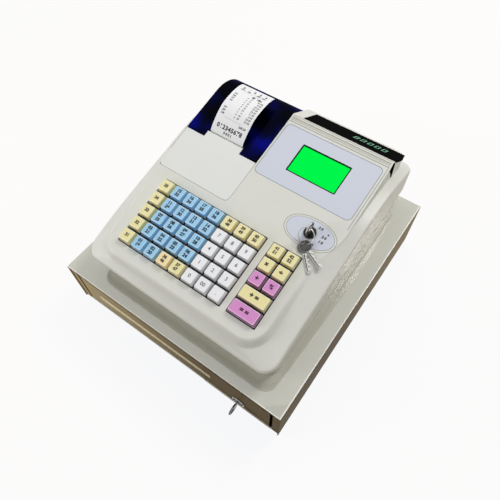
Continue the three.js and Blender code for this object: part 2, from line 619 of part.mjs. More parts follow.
// One ring of the step: it lies round the plateau in front and close to the hood's and the lid's walls behind.
function stepRing(outShare, depthShare, shrink) {
  const out = outShare * body.stepReach;
  const left = plateauLeft - out;
  const right = plateauRight + out;
  const middle = (left + right) / 2;
  const pull = outShare * (body.stepReach - hood.wallFoot);
  return ringPoints(
    left + shrink, right - shrink, plateauFront - out + shrink, rear - body.rearLap - shrink,
    body.plateauRadius + out / 2 - shrink, 5, 16, 6,
  ).map(([x, y]) => {
    const widen = THREE.MathUtils.smoothstep(y, lidFront - hood.widenFrom, lidFront - hood.riseFrom);
    const shift = x > middle ? hoodRight - plateauRight - pull : hoodLeft - plateauLeft + pull;
    const sideShare = Math.min(Math.abs(x - middle) / ((right - left) / 2), 1);
    return new THREE.Vector3(x + shift * widen * sideShare, y, deckZ(y) - stepDepth(y) * depthShare - shrink);
  });
}

// The upper case's solid form: lip, rolled ridge, side bands, concave step and the sloping plateau.
const lipTuckShare = 0.2;
const rearInsetShare = 0.25;
const rollShare = 0.3;
const stepShares = [[1, 1], [0.667, 0.6], [0.311, 0.13], [0, 0]];

function caseForm(shrink) {
  const { lipInset, lipHeight, lipBlend, ridgeRoll, cornerRadius } = body;
  const lipTop = partingZ + lipHeight;
  const low = shrink ? partingZ - overrun : partingZ;
  const lipRings = [
    { inset: lipInset, z: () => low },
    { inset: lipInset * lipTuckShare, z: () => lipTop - shrink },
    { inset: 0, z: (y) => Math.max(lipTop + lipBlend, ridgeZ(y) - ridgeRoll) - shrink },
    { inset: ridgeRoll * rollShare, z: (y) => ridgeZ(y) - ridgeRoll * rollShare - shrink },
    { inset: ridgeRoll, z: (y) => ridgeZ(y) - shrink },
  ].map(({ inset, z }) => {
    const side = halfWidth - inset - shrink;
    return ringPoints(
      -side, side, front + inset + shrink, rear - inset * rearInsetShare - shrink, cornerRadius - shrink, 5, 16, 6,
    ).map(([x, y]) => new THREE.Vector3(x, y, z(y)));
  });
  return loft([...lipRings, ...stepShares.map(([outShare, depthShare]) => stepRing(outShare, depthShare, shrink))]);
}

// Outline in Y and Z that everything above the case's rear has to stay under, over the hood or over the lid.
function rearProfile(over, shrink) {
  const low = cabinet.height;
  const start = front - overrun;
  const wallY = rear - hood.rearWallInset - shrink;
  const shape = new THREE.Shape();
  shape.moveTo(start, low);
  shape.lineTo(rear + overrun, low);
  shape.lineTo(rear + overrun, ledgeZ - 2 * overrun);
  if (over === 'hood') {
    shape.lineTo(wallY, hoodEndZ - shrink - hood.cornerDrop);
    shape.quadraticCurveTo(wallY, hoodEndZ - shrink - hood.cornerBow, slopeEndY, hoodEndZ - shrink);
    shape.lineTo(crestY, hoodCrestZ - shrink);
  } else {
    const radius = lid.rollRadius - lid.proud - shrink;
    const last = Math.acos((lidRear - shrink - lidCentre.y) / radius);
    shape.lineTo(wallY, ledgeZ - lid.ledgeFall - shrink);
    shape.lineTo(lidRear - shrink, ledgeZ - shrink);
    shape.absarc(lidCentre.y, lidCentre.z, radius, last, (90 + deck.tiltDegrees) * degree, false);
  }
  shape.lineTo(start, deckZ(start) - shrink);
  return shape;
}

function makeUpperCase() {
  const wide = halfWidth + overrun;
  const under = (shrink) => join(
    prismX(rearProfile('hood', shrink), hoodDivide, wide, 6),
    prismX(rearProfile('lid', shrink), -wide, hoodDivide + seatGap, 10));
  const outer = caseForm(0).intersect(under(0));
  const hollow = caseForm(body.wall).intersect(under(body.wall));
  const low = partingZ + overrun;
  const high = hoodCrestZ + overrun;
  const printerWell = block(hoodLeft - 2 * runGap, hoodDivide, lidFront - runGap, lidRear + 2 * runGap, low, high);
  const coverHole = prismZ(coverOutline(runGap), low, high, 4);
  const windows = keyWindows().map(([left, right, near, far]) => onDeck(block(
    left, right, near, far, -3 * overrun, overrun)));
  const labelRecess = onDeck(prismZ(labelOutline(seatGap), -label.recess, overrun, 4));
  const lcdHole = onDeck(block(
    screen.left - seatGap, screen.right + seatGap, screen.front - seatGap, screen.rear + seatGap,
    -2 * overrun, overrun));
  const lockHole = onDeck(barZ(
    controlLock.radius + controlLock.holeGap, -2 * overrun, overrun, lockX, lockV, 28));
  const display = prismX(
    customerOutline(customer.gap, customer.underGap, overrun), hoodDivide + customer.fromSplit - customer.gap, wide);
  return outer.subtract(hollow).subtract(join(
    printerWell, coverHole, ...windows, labelRecess, lcdHole, lockHole, display));
}

// Outline of the access cover in X and Y, grown by a clearance.
function coverOutline(grow) {
  const shape = new THREE.Shape();
  const left = coverLeft - grow;
  const right = coverRight + grow;
  const near = coverFront - grow;
  const far = lidFront - runGap * 2 + grow;
  const tongueFar = tongueRear + grow;
  const { radius } = cover;
  shape.moveTo(left + radius, near);
  shape.lineTo(right - radius, near);
  shape.absarc(right - radius, near + radius, radius, -Math.PI / 2, 0, false);
  shape.lineTo(right, far);
  shape.lineTo(tongueRight + grow, far);
  shape.lineTo(tongueRight + grow, tongueFar);
  shape.lineTo(tongueLeft - grow, tongueFar);
  shape.lineTo(tongueLeft - grow, far);
  shape.lineTo(left, far);
  shape.lineTo(left, near + radius);
  shape.absarc(left + radius, near + radius, radius, Math.PI, Math.PI * 1.5, false);
  return shape;
}

// Access cover over the printer: a plate in the deck plane with a tongue to the tear edge and two tabs in front.
const tabPlaceShares = [0.25, 0.75];

function makeAccessCover() {
  const column = prismZ(coverOutline(0), partingZ, hoodCrestZ, 4);
  const slab = onDeck(block(-halfWidth, halfWidth, slopeV(front), slopeV(rear), -cover.thick, 0));
  const { tabWidth, tabReach, tabThick, tabGap } = tongue;
  const low = -deckWall - tabGap - tabThick;
  const v = slopeV(coverFront);
  const tabs = tabPlaceShares.map((share) => {
    const x = coverLeft + cover.width * share;
    const near = x - tabWidth / 2;
    const far = x + tabWidth / 2;
    return onDeck(join(
      block(near, far, v - tabReach, v + tabReach, low, low + tabThick),
      block(near, far, v + runGap, v + tabReach, low, -cover.thick / 2)));
  });
  return join(column.intersect(slab), ...tabs);
}

// Printer lid: a dark translucent shell that follows the deck and rolls over the paper, with a notch for the paper.
function lidProfile(shrink) {
  const start = lidFront - overrun;
  const rise = (lid.proud - shrink) / deckCos;
  const shape = new THREE.Shape();
  shape.moveTo(start, deckZ(start) + rise);
  shape.lineTo(start, deckZ(start) + rise - lid.rollRadius);
  shape.lineTo(lidRear + overrun, lidCentre.z - lid.rollRadius);
  shape.lineTo(lidRear + overrun, lidCentre.z);
  shape.absarc(
    lidCentre.y, lidCentre.z, lid.rollRadius - shrink, 0, (90 + deck.tiltDegrees) * degree, false);
  return shape;
}

function makeLid() {
  const left = hoodLeft;
  const right = coverRight;
  const low = lidCentre.z - lid.rollRadius - overrun;
  const high = hoodCrestZ + overrun;
  const { wall, skirtFront, skirtRear, hingeBehind, hingeRise, hingeRadius, beadLength } = lid;
  const outer = prismX(lidProfile(0), left, right, 14);
  const hollow = prismX(lidProfile(wall), left + wall, right - wall, 14);
  const skirtStart = deckZ(lidFront) - skirtFront;
  const skirtEnd = ledgeZ - skirtRear;
  const before = lidFront - 2 * overrun;
  const after = lidRear + 2 * overrun;
  const below = prismX(outline([
    [before, low], [after, low], [after, skirtEnd], [lidRear, skirtEnd], [lidFront, skirtStart], [before, skirtStart],
  ]), left - overrun, right + overrun);
  const ahead = block(left - overrun, right + overrun, front, lidFront, low, high);
  const behind = block(left - overrun, right + overrun, lidRear, after, low, high);
  const notch = block(tongueLeft - runGap, tongueRight + runGap, before, paperEdge, low, high);
  const shell = outer.subtract(join(hollow, below, ahead, behind, notch));
  const hingeZ = ledgeZ + hingeRise;
  const hingeY = lidRear + hingeBehind;
  const beads = [left + wall, right - wall - beadLength].map((x) => join(
    barX(hingeRadius, x, x + beadLength, hingeY, hingeZ, 14),
    block(x, x + beadLength, lidRear - wall / 2, hingeY, hingeZ, hingeZ + hingeRadius)));
  return join(shell, ...beads);
}

// Paper roll on its core.
function makeRoll() {
  const left = rollMiddle - roll.width / 2;
  const right = rollMiddle + roll.width / 2;
  return barX(roll.radius, left, right, rollCentre.y, rollCentre.z, 48)
    .subtract(barX(roll.coreRadius, left - overrun, right + overrun, rollCentre.y, rollCentre.z));
}

// Receipt: the strip that rises from the slot and arches back over the lid. The shares are of its reach and rise.
const receiptShares = [
  [0, -0.16], [0.016, 0.06], [0.134, 0.43], [0.331, 0.84], [0.597, 0.995], [0.811, 0.954], [1, 0.718],
];

function makeReceipt() {
  const slotY = (tongueRear + paperEdge) / 2;
  const slotTop = deckZ(slotY);
  const path = new THREE.CatmullRomCurve3(receiptShares.map(([reachShare, riseShare]) => new THREE.Vector3(
    0, slotY + receipt.reach * reachShare, slotTop + receipt.rise * riseShare)));
  const points = path.getPoints(22);
  const normals = points.map((_, step) => {
    const tangent = path.getTangent(step / (points.length - 1));
    return new THREE.Vector2(-tangent.z, tangent.y).multiplyScalar(receipt.thick / 2);
  });
  const upper = points.map((point, step) => [point.y + normals[step].x, point.z + normals[step].y]);
  const lower = points.map((point, step) => [point.y - normals[step].x, point.z - normals[step].y]).reverse();
  const strip = outline([...upper, ...lower].reverse());
  return prismX(strip, rollMiddle - roll.width / 2, rollMiddle + roll.width / 2);
}

// Rubber platen roller on its steel shaft.
const cheekInside = roll.width / 2 + roll.sideGap;

function makePlaten() {
  const half = roll.width / 2;
  const reach = cheekInside + platen.shaftReach;
  return join(
    barX(platen.radius, rollMiddle - half, rollMiddle + half, platenCentre.y, platenCentre.z, 24),
    barX(platen.shaftRadius, rollMiddle - reach, rollMiddle + reach, platenCentre.y, platenCentre.z, 12));
}

const headY = platenCentre.y - platen.radius - printer.headGap;
const printerFront = headY - printer.cheekAhead;

// Print mechanism: two cheeks that carry the platen, the thermal head bar and the trough that the roll lies in.
function makePrintMechanism() {
  const low = caseBottom + lowerCase.floor + seatGap;
  const troughRadius = roll.radius + printer.troughGap;
  const troughRear = rollCentre.y + troughRadius;
  const cheekShape = outline([
    [printerFront, low], [troughRear, low], [troughRear, rollCentre.z], [rollCentre.y - roll.radius, rollCentre.z],
    [platenCentre.y + platen.radius + overrun, platenCentre.z + platen.shaftRadius + printer.shaftCover],
    [printerFront, deckZ(printerFront) - printer.cheekDrop],
  ]);
  const cheeks = [-1, 1].map((side) => {
    const near = rollMiddle + side * cheekInside;
    const far = near + side * printer.cheek;
    return prismX(cheekShape, Math.min(near, far), Math.max(near, far));
  });
  const span = cheekInside + printer.cheek / 2;
  const left = rollMiddle - span;
  const right = rollMiddle + span;
  const head = block(
    left, right, headY - printer.headThick, headY, platenCentre.z - printer.headDepth,
    platenCentre.z + printer.headRise);
  const trough = barX(troughRadius + printer.trough, left, right, rollCentre.y, rollCentre.z, 40)
    .subtract(barX(troughRadius, left - span, right + span, rollCentre.y, rollCentre.z, 40))
    .subtract(block(
      left - span, right + span, front, rear, rollCentre.z - printer.mouthDrop, hoodCrestZ));
  const base = block(left, right, printerFront, troughRear, low, low + printer.cheek);
  const shaftHoles = barX(
    platen.shaftRadius + platen.boreGap, left - span, right + span, platenCentre.y, platenCentre.z, 16);
  return join(...cheeks, head, trough, base).subtract(shaftHoles);
}

// Label panel on the hood, with a window for the screen.
function labelOutline(grow) {
  return roundedRectangle(
    labelEdges.left - grow, labelEdges.right + grow, labelEdges.front - grow, labelEdges.rear + grow,
    label.radius + grow);
}

function screenWindow(low, high) {
  const { frame } = lcd;
  return block(screen.left + frame, screen.right - frame, screen.front + frame, screen.rear - frame, low, high);
}

function makeLabelPanel() {
  const low = -label.recess + seatGap;
  return prismZ(labelOutline(0), low, low + label.thick, 4).subtract(screenWindow(-overrun, overrun));
}

// Operator's screen under the label panel.
function makeScreen() {
  const top = -label.recess;
  return block(screen.left, screen.right, screen.front, screen.rear, top - lcd.depth, top)
    .subtract(screenWindow(top - lcd.faceDrop, overrun));
}

// Customer display: a wedge-shaped dark window over the hood's rear slope. Its seat is cut wider by the gap, deeper
// by the gap under it and open above.
function customerOutline(grow, below, above) {
  const cos = Math.cos(hood.slopeDegrees * degree);
  const sin = Math.sin(hood.slopeDegrees * degree);
  const length = hood.slopeRun / cos;
  const place = (along, down) => [crestY + along * cos - down * sin, hoodCrestZ - along * sin - down * cos];
  return outline([
    place(-grow, -above), place(-grow, customer.frontThick + below),
    place(length + grow, customer.thick + below), place(length + grow, -above),
  ]);
}

function makeCustomerDisplay() {
  return prismX(customerOutline(0, 0, 0), hoodDivide + customer.fromSplit, hoodRight + customer.endBulge);
}

// Keyboard: openings in the case, the frame under them and the caps.
function keyWindows() {
  const { pitch, windowGap, leftColumns, rightColumns } = keys;
  return [[leftBlock, leftColumns], [rightBlock, rightColumns]].map(([left, columns]) => [
    left - windowGap, left + columns * pitch + windowGap, keyFrontV - windowGap, keyRearV + windowGap,
  ]);
}

// Colour of each key, front row first: b blue, y yellow, w white, p pink, and a capital for a cap two keys wide.
const leftRows = ['ybbyywww', 'ybbbbwww', 'ybbbbwww', 'ybbbbwww', 'ybbbbyyy'];
const rightRows = ['P', 'Y', 'pp', 'yy', 'yy'];
const capFinish = { b: finish.blueKey, y: finish.yellowKey, w: finish.whiteKey, p: finish.pinkKey };
const capWord = { b: 'blue', y: 'yellow', w: 'white', p: 'pink' };

function keyPlaces() {
  const places = [];
  const addRows = (rows, left, tag) => rows.forEach((row, rowNumber) => {
    let column = 0;
    [...row].forEach((letter) => {
      const wide = letter === letter.toUpperCase() ? 2 : 1;
      places.push({
        colour: letter.toLowerCase(), wide, x: left + (column + wide / 2) * keys.pitch,
        v: keyFrontV + (rowNumber + 1 / 2) * keys.pitch, tag: `${tag}_r${rowNumber + 1}_c${column + 1}`,
      });
      column += wide;
    });
  });
  addRows(leftRows, leftBlock, 'main');
  addRows(rightRows, rightBlock, 'side');
  return places;
}

// Outline of a cap at one level: a rectangle with cut corners.
function capRing(x, v, halfWide, halfDeep, cut, n) {
  return [
    [-halfWide + cut, -halfDeep], [halfWide - cut, -halfDeep], [halfWide, -halfDeep + cut],
    [halfWide, halfDeep - cut], [halfWide - cut, halfDeep], [-halfWide + cut, halfDeep],
    [-halfWide, halfDeep - cut], [-halfWide, -halfDeep + cut],
  ].map(([dx, dv]) => new THREE.Vector3(x + dx, v + dv, n));
}

function makeCap({ x, v, wide }) {
  const extra = (wide - 1) * keys.pitch / 2;
  const base = (keys.pitch - keys.capGap) / 2;
  const top = base - keys.capTaper;
  const skirt = base - keys.rimWidth / 2;
  const brow = top + keys.rimWidth;
  const { cornerCut, capSkirt, capHeight, capBelow, rimWidth } = keys;
  return loft([
    capRing(x, v, base + extra, base, cornerCut / 2, -capBelow),
    capRing(x, v, skirt + extra, skirt, cornerCut, capSkirt),
    capRing(x, v, brow + extra, brow, cornerCut, capHeight - rimWidth),
    capRing(x, v, top + extra, top, cornerCut, capHeight),
  ]);
}

function postUnder({ x, v }, width, low) {
  return block(x - width / 2, x + width / 2, v - width / 2, v + width / 2, low, -keys.capBelow / 2);
}

function makeKeyboardUnit(places) {
  const plateTop = -keys.plateDepth;
  const low = plateTop - keys.plateThick;
  const wall = keys.frameWall;
  const frames = keyWindows().map(([left, right, near, far]) => block(
    left - wall, right + wall, near - wall, far + wall, low, -deckWall - keys.frameGap,
  ).subtract(block(left, right, near, far, plateTop, overrun)));
  const [[, leftEnd], [rightStart]] = keyWindows();
  const bridge = block(leftEnd, rightStart, keyFrontV, keyRearV, low, plateTop);
  const hole = keys.stem / 2 + keys.stemGap;
  const holes = places.filter(({ colour }) => colour !== 'b').map(({ x, v }) => block(
    x - hole, x + hole, v - hole, v + hole, low - overrun, plateTop + overrun));
  const blues = places.filter(({ colour }) => colour === 'b').map((place) => join(
    makeCap(place), postUnder(place, keys.pedestal, low)));
  return join(...frames, bridge, ...blues).subtract(join(...holes));
}

function makeMovingKey(place) {
  const low = -keys.plateDepth - keys.plateThick - keys.stemBelow;
  return join(makeCap(place), postUnder(place, keys.stem, low));
}

// Control lock: a barrel through the deck, and its key standing in it.
function makeControlLock() {
  const { flange, flangeThick, radius, length } = controlLock;
  return join(
    barZ(flange, seatGap, flangeThick, lockX, lockV, 28),
    barZ(radius, -length, flangeThick / 2, lockX, lockV, 24));
}

function makeControlKey() {
  const { flangeThick, bowRadius, keyThick, eyeRadius, bowOut, bladeHalf } = controlLock;
  const near = lockX - keyThick / 2;
  const far = lockX + keyThick / 2;
  const blade = block(near, far, lockV - bladeHalf, lockV + bladeHalf, flangeThick + seatGap, bowOut);
  const bow = barX(bowRadius, near, far, lockV, bowOut);
  return join(bow, blade).subtract(barX(eyeRadius, near - overrun, far + overrun, lockV, bowOut, 14));
}

// Ring through the control key's bow with two spare keys on it, lying down the slope on the deck.
const neckShare = 1.6;
const bittingShares = [[0.3, 0.1], [0.5, 0.14], [0.74, 0.1]];

function makeKeyBunch() {
  const { ringRadius, wire, spareBow, spareHole, spareThick, bladeLength, bladeWidth, bittingDepth } = bunch;
  const drop = Math.asin((controlLock.bowOut - wire - bunch.layGap) / (2 * ringRadius));
  const centreV = lockV - ringRadius * Math.cos(drop);
  const centreN = controlLock.bowOut - ringRadius * Math.sin(drop);
  const lowV = centreV - ringRadius * Math.cos(drop);
  const ring = toSolid(
    new THREE.TorusGeometry(ringRadius, wire, 8, 28).rotateX(drop).translate(lockX, centreV, centreN));
  const spares = bunch.spareTurnsDegrees.map((turn, number) => {
    const low = bunch.layGap + number * bunch.stackStep;
    const high = low + spareThick;
    const bowV = -spareBow + spareHole;
    const tipV = -spareBow * neckShare - bladeLength;
    const bow = barZ(spareBow, low, high, 0, bowV, 18);
    const blade = block(-bladeWidth / 2, bladeWidth / 2, tipV, bowV, low, high);
    const cuts = bittingShares.map(([alongShare, widthShare]) => {
      const middle = tipV + bladeLength * alongShare;
      const half = bladeLength * widthShare / 2;
      return block(
        bladeWidth / 2 - bittingDepth, bladeWidth, middle - half, middle + half, low - overrun, high + overrun);
    });
    const place = new THREE.Matrix4().makeRotationZ(turn * degree).setPosition(lockX, lowV, 0);
    return join(bow, blade).subtract(join(...cuts)).transform([...place.elements]);
  });
  return join(ring, ...spares);
}

// Main board on the lower case's bosses.
const boardHalf = halfWidth - board.sideRoom;
const boardY = printerFront - board.beforePrinter - board.depth / 2;
const boardCorners = [-1, 1].flatMap((sx) => [-1, 1].map((sy) => [
  sx * (boardHalf - board.bossInset), boardY + sy * (board.depth / 2 - board.bossInset),
]));
const chipPlaceShares = [[0.3, -0.5], [0.62, 0.1], [-0.05, 0.45], [-0.5, -0.2]];

function makeBoard() {
  const low = caseBottom + lowerCase.floor + lowerCase.bossHeight + seatGap;
  const halfDepth = board.depth / 2;
  const plate = block(-boardHalf, boardHalf, boardY - halfDepth, boardY + halfDepth, low, low + board.thick);
  const chips = chipPlaceShares.map(([acrossShare, alongShare]) => {
    const x = boardHalf * acrossShare;
    const y = boardY + halfDepth * alongShare;
    return block(
      x - board.chip, x + board.chip, y - board.chip / 2, y + board.chip / 2,
      low + board.thick / 2, low + board.thick + board.chipHeight);
  });
  return join(plate, ...chips);
}

// Connector plate in the lower case's rear wall.
const portZ = caseBottom + ports.rise;
const inletShares = [-0.3, 0.02, 0.33];

function makePorts() {
  const rearWall = rear - lowerCase.sideInset / 2;
  const { x, width, height, thick, inletWidth, inletHeight, inset } = ports;
  const halfWide = width / 2 - seatGap;
  const halfHigh = height / 2 - seatGap;
  const plate = block(
    x - halfWide, x + halfWide, rearWall - thick, rearWall - inset / 2, portZ - halfHigh, portZ + halfHigh);
  const holes = inletShares.map((share) => {
    const middle = x + width * share;
    return block(
      middle - inletWidth / 2, middle + inletWidth / 2, rearWall - inset, rearWall + overrun,
      portZ - inletHeight / 2, portZ + inletHeight / 2);
  });
  return plate.subtract(join(...holes));
}

addPiece('drawer_cabinet', makeCabinet(), finish.steel);
addPiece('cabinet_base', makeBase(), finish.steel);
addPiece('left_runner', makeRunner(-1), finish.bare);
addPiece('right_runner', makeRunner(1), finish.bare);
addPiece('latch_unit', makeLatch(), finish.bare);
addPiece('drawer_box', makeDrawerBox(), finish.steel);
addPiece('drawer_front', makeDrawerFront(), finish.steel);
addPiece('cash_tray', makeTray(), finish.black);
for (let number = 0; number < tray.noteBays; number += 1) {
  addPiece(`note_clip_${number + 1}`, makeNoteClip(number), finish.bare);
}
addPiece('drawer_lock', makeDrawerLock(), finish.bare);
addPiece('lower_case', makeLowerCase(), finish.shell);
addPiece('upper_case', makeUpperCase(), finish.shell);
addPiece('access_cover', makeAccessCover(), finish.shell);
addPiece('printer_lid', makeLid(), finish.blueLid);
addPiece('paper_roll', makeRoll(), finish.paper);
addPiece('receipt_strip', makeReceipt(), finish.paper);
addPiece('platen_roller', makePlaten(), finish.rubber);
addPiece('print_mechanism', makePrintMechanism(), finish.black);
addPiece('customer_display', makeCustomerDisplay(), finish.gloss);
addPiece('main_board', makeBoard(), finish.board);
addPiece('rear_ports', makePorts(), finish.black);
addPiece('label_panel', makeLabelPanel(), finish.label, deckGroup);
addPiece('screen_module', makeScreen(), finish.screen, deckGroup);
addPiece('control_lock', makeControlLock(), finish.black, deckGroup);
addPiece('control_key', makeControlKey(), finish.bare, deckGroup);
addPiece('key_bunch', makeKeyBunch(), finish.bare, deckGroup);

const places = keyPlaces();
addPiece('keyboard_unit', makeKeyboardUnit(places), finish.blueKey, deckGroup);
places.filter(({ colour }) => colour !== 'b').forEach((place) => {
  addPiece(`key_${place.tag}_${capWord[place.colour]}`, makeMovingKey(place), capFinish[place.colour], deckGroup);
});

export default register;
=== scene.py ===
import math
import random
import bmesh
import bpy
import numpy as np
from mathutils import Matrix, Vector
from mathutils.bvhtree import BVHTree


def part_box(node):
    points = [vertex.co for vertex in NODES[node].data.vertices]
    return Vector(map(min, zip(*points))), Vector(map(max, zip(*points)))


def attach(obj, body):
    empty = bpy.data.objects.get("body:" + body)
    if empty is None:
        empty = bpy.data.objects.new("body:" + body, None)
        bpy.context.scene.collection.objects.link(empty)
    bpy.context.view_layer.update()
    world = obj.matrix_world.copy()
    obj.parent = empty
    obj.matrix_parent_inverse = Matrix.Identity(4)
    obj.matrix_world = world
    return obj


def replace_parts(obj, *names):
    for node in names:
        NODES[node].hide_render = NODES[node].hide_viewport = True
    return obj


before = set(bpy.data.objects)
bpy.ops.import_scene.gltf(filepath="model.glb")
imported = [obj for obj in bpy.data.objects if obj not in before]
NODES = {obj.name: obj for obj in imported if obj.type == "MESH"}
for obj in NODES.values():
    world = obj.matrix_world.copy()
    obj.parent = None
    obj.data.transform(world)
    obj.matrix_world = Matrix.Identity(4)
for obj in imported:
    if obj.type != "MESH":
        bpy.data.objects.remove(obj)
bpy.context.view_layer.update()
ROOT = "register_and_cabinet"
MM = 0.001
DEG = math.pi / 180

# Sizes in millimetres, as in the CAD model. The deck is the keys' tilted plane: v runs up it and n out of it.
TILT = 12 * DEG
TAN, COS, SIN = math.tan(TILT), math.cos(TILT), math.sin(TILT)
DECK_HEIGHT = 192.5
DECK = Matrix.Translation((0, 0, DECK_HEIGHT)) @ Matrix.Rotation(TILT, 4, "X")

# Upper case: outline, parting line, corner radius, wall, and the plateau of the deck
HALF, FRONT, REAR = 156.6, -176.6, 201.0
PARTING, CORNER, WALL = 133.5, 20.0, 2.4
PLATEAU_LEFT, PLATEAU_RIGHT, PLATEAU_FRONT, PLATEAU_RADIUS = -134.5, 122.5, -158.8, 28.0
HOOD_LEFT, HOOD_RIGHT = -147.2, 140.4
CABINET_TOP = 98
OVERRUN = 5

# Rolled ridge round the deck, and the step from it up to the plateau
RIDGE_DROP, RAMP_START, RAMP_SLOPE, RIDGE_BLEND = 7.4, -112, 0.317, 1.4
CREST_HEIGHT, CREST_START, CREST_FALL = 198.2, 88, 28.6
STEP_REACH, STEP_PULL = 9, 7.4
FRONT_STEP, MIDDLE_STEP, HOOD_STEP = 9.5, 1.6, 1.5

# Hood over the customer display: where its slope begins and ends, and how its rear turns down
HOOD_CREST, HOOD_END, HOOD_SLOPE = 142.7, 183.5, 30 * DEG
HOOD_TURN_HIGH, HOOD_TURN_LOW = 8.5, 27.2

# Lid over the paper: where its roll begins and ends, its radius and how far it stands proud of the deck
ROLL_START, ROLL_RADIUS, ROLL_PROUD, ROLL_DEGREES, WELL_REAR = 122, 57.5, 0.5, 102, 188.6
ROLL_Y = ROLL_START + ROLL_RADIUS * SIN
ROLL_Z = DECK_HEIGHT + TAN * ROLL_START + ROLL_PROUD / COS - ROLL_RADIUS * COS

# Keys: pitch, front edge and rows, and the left edge and columns of each block
PITCH, KEY_FRONT, ROWS = 21.8, -145.8, 5
BLOCKS = {"main": (-118.4, 8), "side": (66.2, 2)}

# Rectangles on the deck, as left, right, front and rear
SCREEN = (19.1, 96.5, 61.4, 108.9)
LABEL = (-18.5, 133.5, 37 / COS, 125.4 / COS)
LABEL_LINE = (-19.1, 134.1, 37.2, 128.8)

LOCK_X, LOCK_V = 98.9, -1.9
RECEIPT_X = -83.4
DRAWER_FACE = -197.5
DRAWER_LOCK = (121, -197.8, 25)


def deck_z(y):
    return DECK_HEIGHT + TAN * y


def on_deck(x, v, n):
    return Vector((x, v * COS - n * SIN, DECK_HEIGHT + v * SIN + n * COS))


def on_deck_rings(*rings):
    """Outlines set on the deck, each given with its height."""
    return [[on_deck(p[0], p[1], n) for p in outline] for outline, n in rings]


def on_slope(along, down):
    """Depth and height on the hood's rear slope, from its crest."""
    c, s = math.cos(HOOD_SLOPE), math.sin(HOOD_SLOPE)
    return HOOD_CREST + along * c - down * s, deck_z(HOOD_CREST) - along * s - down * c


def smoothstep(x, start, end):
    t = min(max((x - start) / (end - start), 0), 1)
    return t * t * (3 - 2 * t)


def grown(box, by):
    """A rectangle (left, right, front, rear) with its sides moved outwards."""
    left, right, front, rear = box
    return left - by, right + by, front - by, rear + by


def arc(x, y, radius, start, end, steps):
    """Points on an arc, with angles in degrees."""
    return [(x + radius * math.cos(a * DEG), y + radius * math.sin(a * DEG))
            for a in np.linspace(start, end, steps + 1)]


def circle(radius, height=0, centre=(0, 0), steps=40):
    return [(x, y, height) for x, y in arc(*centre, radius, 0, 360, steps)[:-1]]


def rounded(box, radius, corner=5, side=1, end=1):
    """A rounded rectangle, with its sides divided where they follow a curve."""
    left, right, front, rear = grown(box, -radius)
    centres = [(right, front, -90), (right, rear, 0), (left, rear, 90), (left, front, 180)]
    turns = [arc(x, y, radius, start, start + 90, corner) for x, y, start in centres]
    points = []
    for turn, following, steps in zip(turns, turns[1:] + turns[:1], (side, end, side, end)):
        points += turn
        for step in range(1, steps):
            points.append([a + (b - a) * step / steps for a, b in zip(turn[-1], following[0])])
    return points


def key_block(name):
    left, columns = BLOCKS[name]
    return left, left + columns * PITCH, KEY_FRONT, KEY_FRONT + ROWS * PITCH


# Materials
def srgb(*color):
    """A colour from screen values of 0 to 255."""
    shares = [c / 255 for c in color]
    return [c / 12.92 if c <= 0.04045 else ((c + 0.055) / 1.055) ** 2.4 for c in shares] + [1]


def feed(tree, node, inputs):
    """Gives each input of a node a value, or another node's output."""
    for key, value in inputs.items():
        if isinstance(value, bpy.types.NodeSocket):
            tree.links.new(value, node.inputs[key])
        else:
            node.inputs[key].default_value = value
    return node


def add_node(tree, kind, inputs=None, **settings):
    node = tree.nodes.new("ShaderNode" + kind)
    for key, value in settings.items():
        setattr(node, key, value)
    return feed(tree, node, inputs or {})


def noise(tree, place, scale, detail):
    return add_node(tree, "TexNoise", {"Vector": place, "Scale": scale, "Detail": detail}).outputs["Fac"]


def spread(tree, value, low, high, start=0, end=1):
    """Goes from low to high while the value goes from start to end."""
    inputs = {"Value": value, "From Min": start, "From Max": end, "To Min": low, "To Max": high}
    return add_node(tree, "MapRange", inputs).outputs["Result"]


def mixed(tree, share, first, second, way="MIX"):
    """The first colour where the share is 0, and the second, or their product, where it is 1."""
    inputs = {"Factor": share, "A": first, "B": second}
    return add_node(tree, "Mix", inputs, data_type="RGBA", blend_type=way).outputs["Result"]


def split(tree, vector):
    return add_node(tree, "SeparateXYZ", {"Vector": vector}).outputs


def material(name, color, rough, metal=0, grain=None, mottle=(0.03, 30), uneven=0.06, coat=(0, 0.05),
             coat_ior=1.5, specular=0.5, edge=0, glow=None):
    """A surface with uneven gloss. Grain and mottle are a strength and a scale, coat is a weight and a
    roughness, and glow a colour and a strength."""
    made = bpy.data.materials.new(name)
    made.use_nodes = True
    tree = made.node_tree
    place = add_node(tree, "TexCoord").outputs["Object"]
    drift, scale = mottle
    shade = spread(tree, noise(tree, place, scale, 4), 1 - drift, 1 + drift)
    worn = noise(tree, place, scale * 3.3, 6)
    surface = feed(tree, tree.nodes["Principled BSDF"], {
        "Base Color": mixed(tree, 1, srgb(*color), shade, "MULTIPLY"),
        "Roughness": spread(tree, worn, max(rough - uneven, 0.02), min(rough + uneven, 1)),
        "Metallic": metal, "Specular IOR Level": specular,
        "Coat Weight": coat[0], "Coat Roughness": coat[1], "Coat IOR": coat_ior,
    })
    normal = {}
    if edge:
        normal = {"Normal": add_node(tree, "Bevel", {"Radius": edge}, samples=4).outputs["Normal"]}
    if grain:
        fine = noise(tree, place, grain[1], 3)
        bump = add_node(tree, "Bump", {"Strength": grain[0], "Distance": 0.0002, "Height": fine})
        normal = {"Normal": feed(tree, bump, normal).outputs["Normal"]}
    feed(tree, surface, normal)
    if glow:
        feed(tree, surface, {"Emission Color": srgb(*glow[0]), "Emission Strength": glow[1]})
    return made


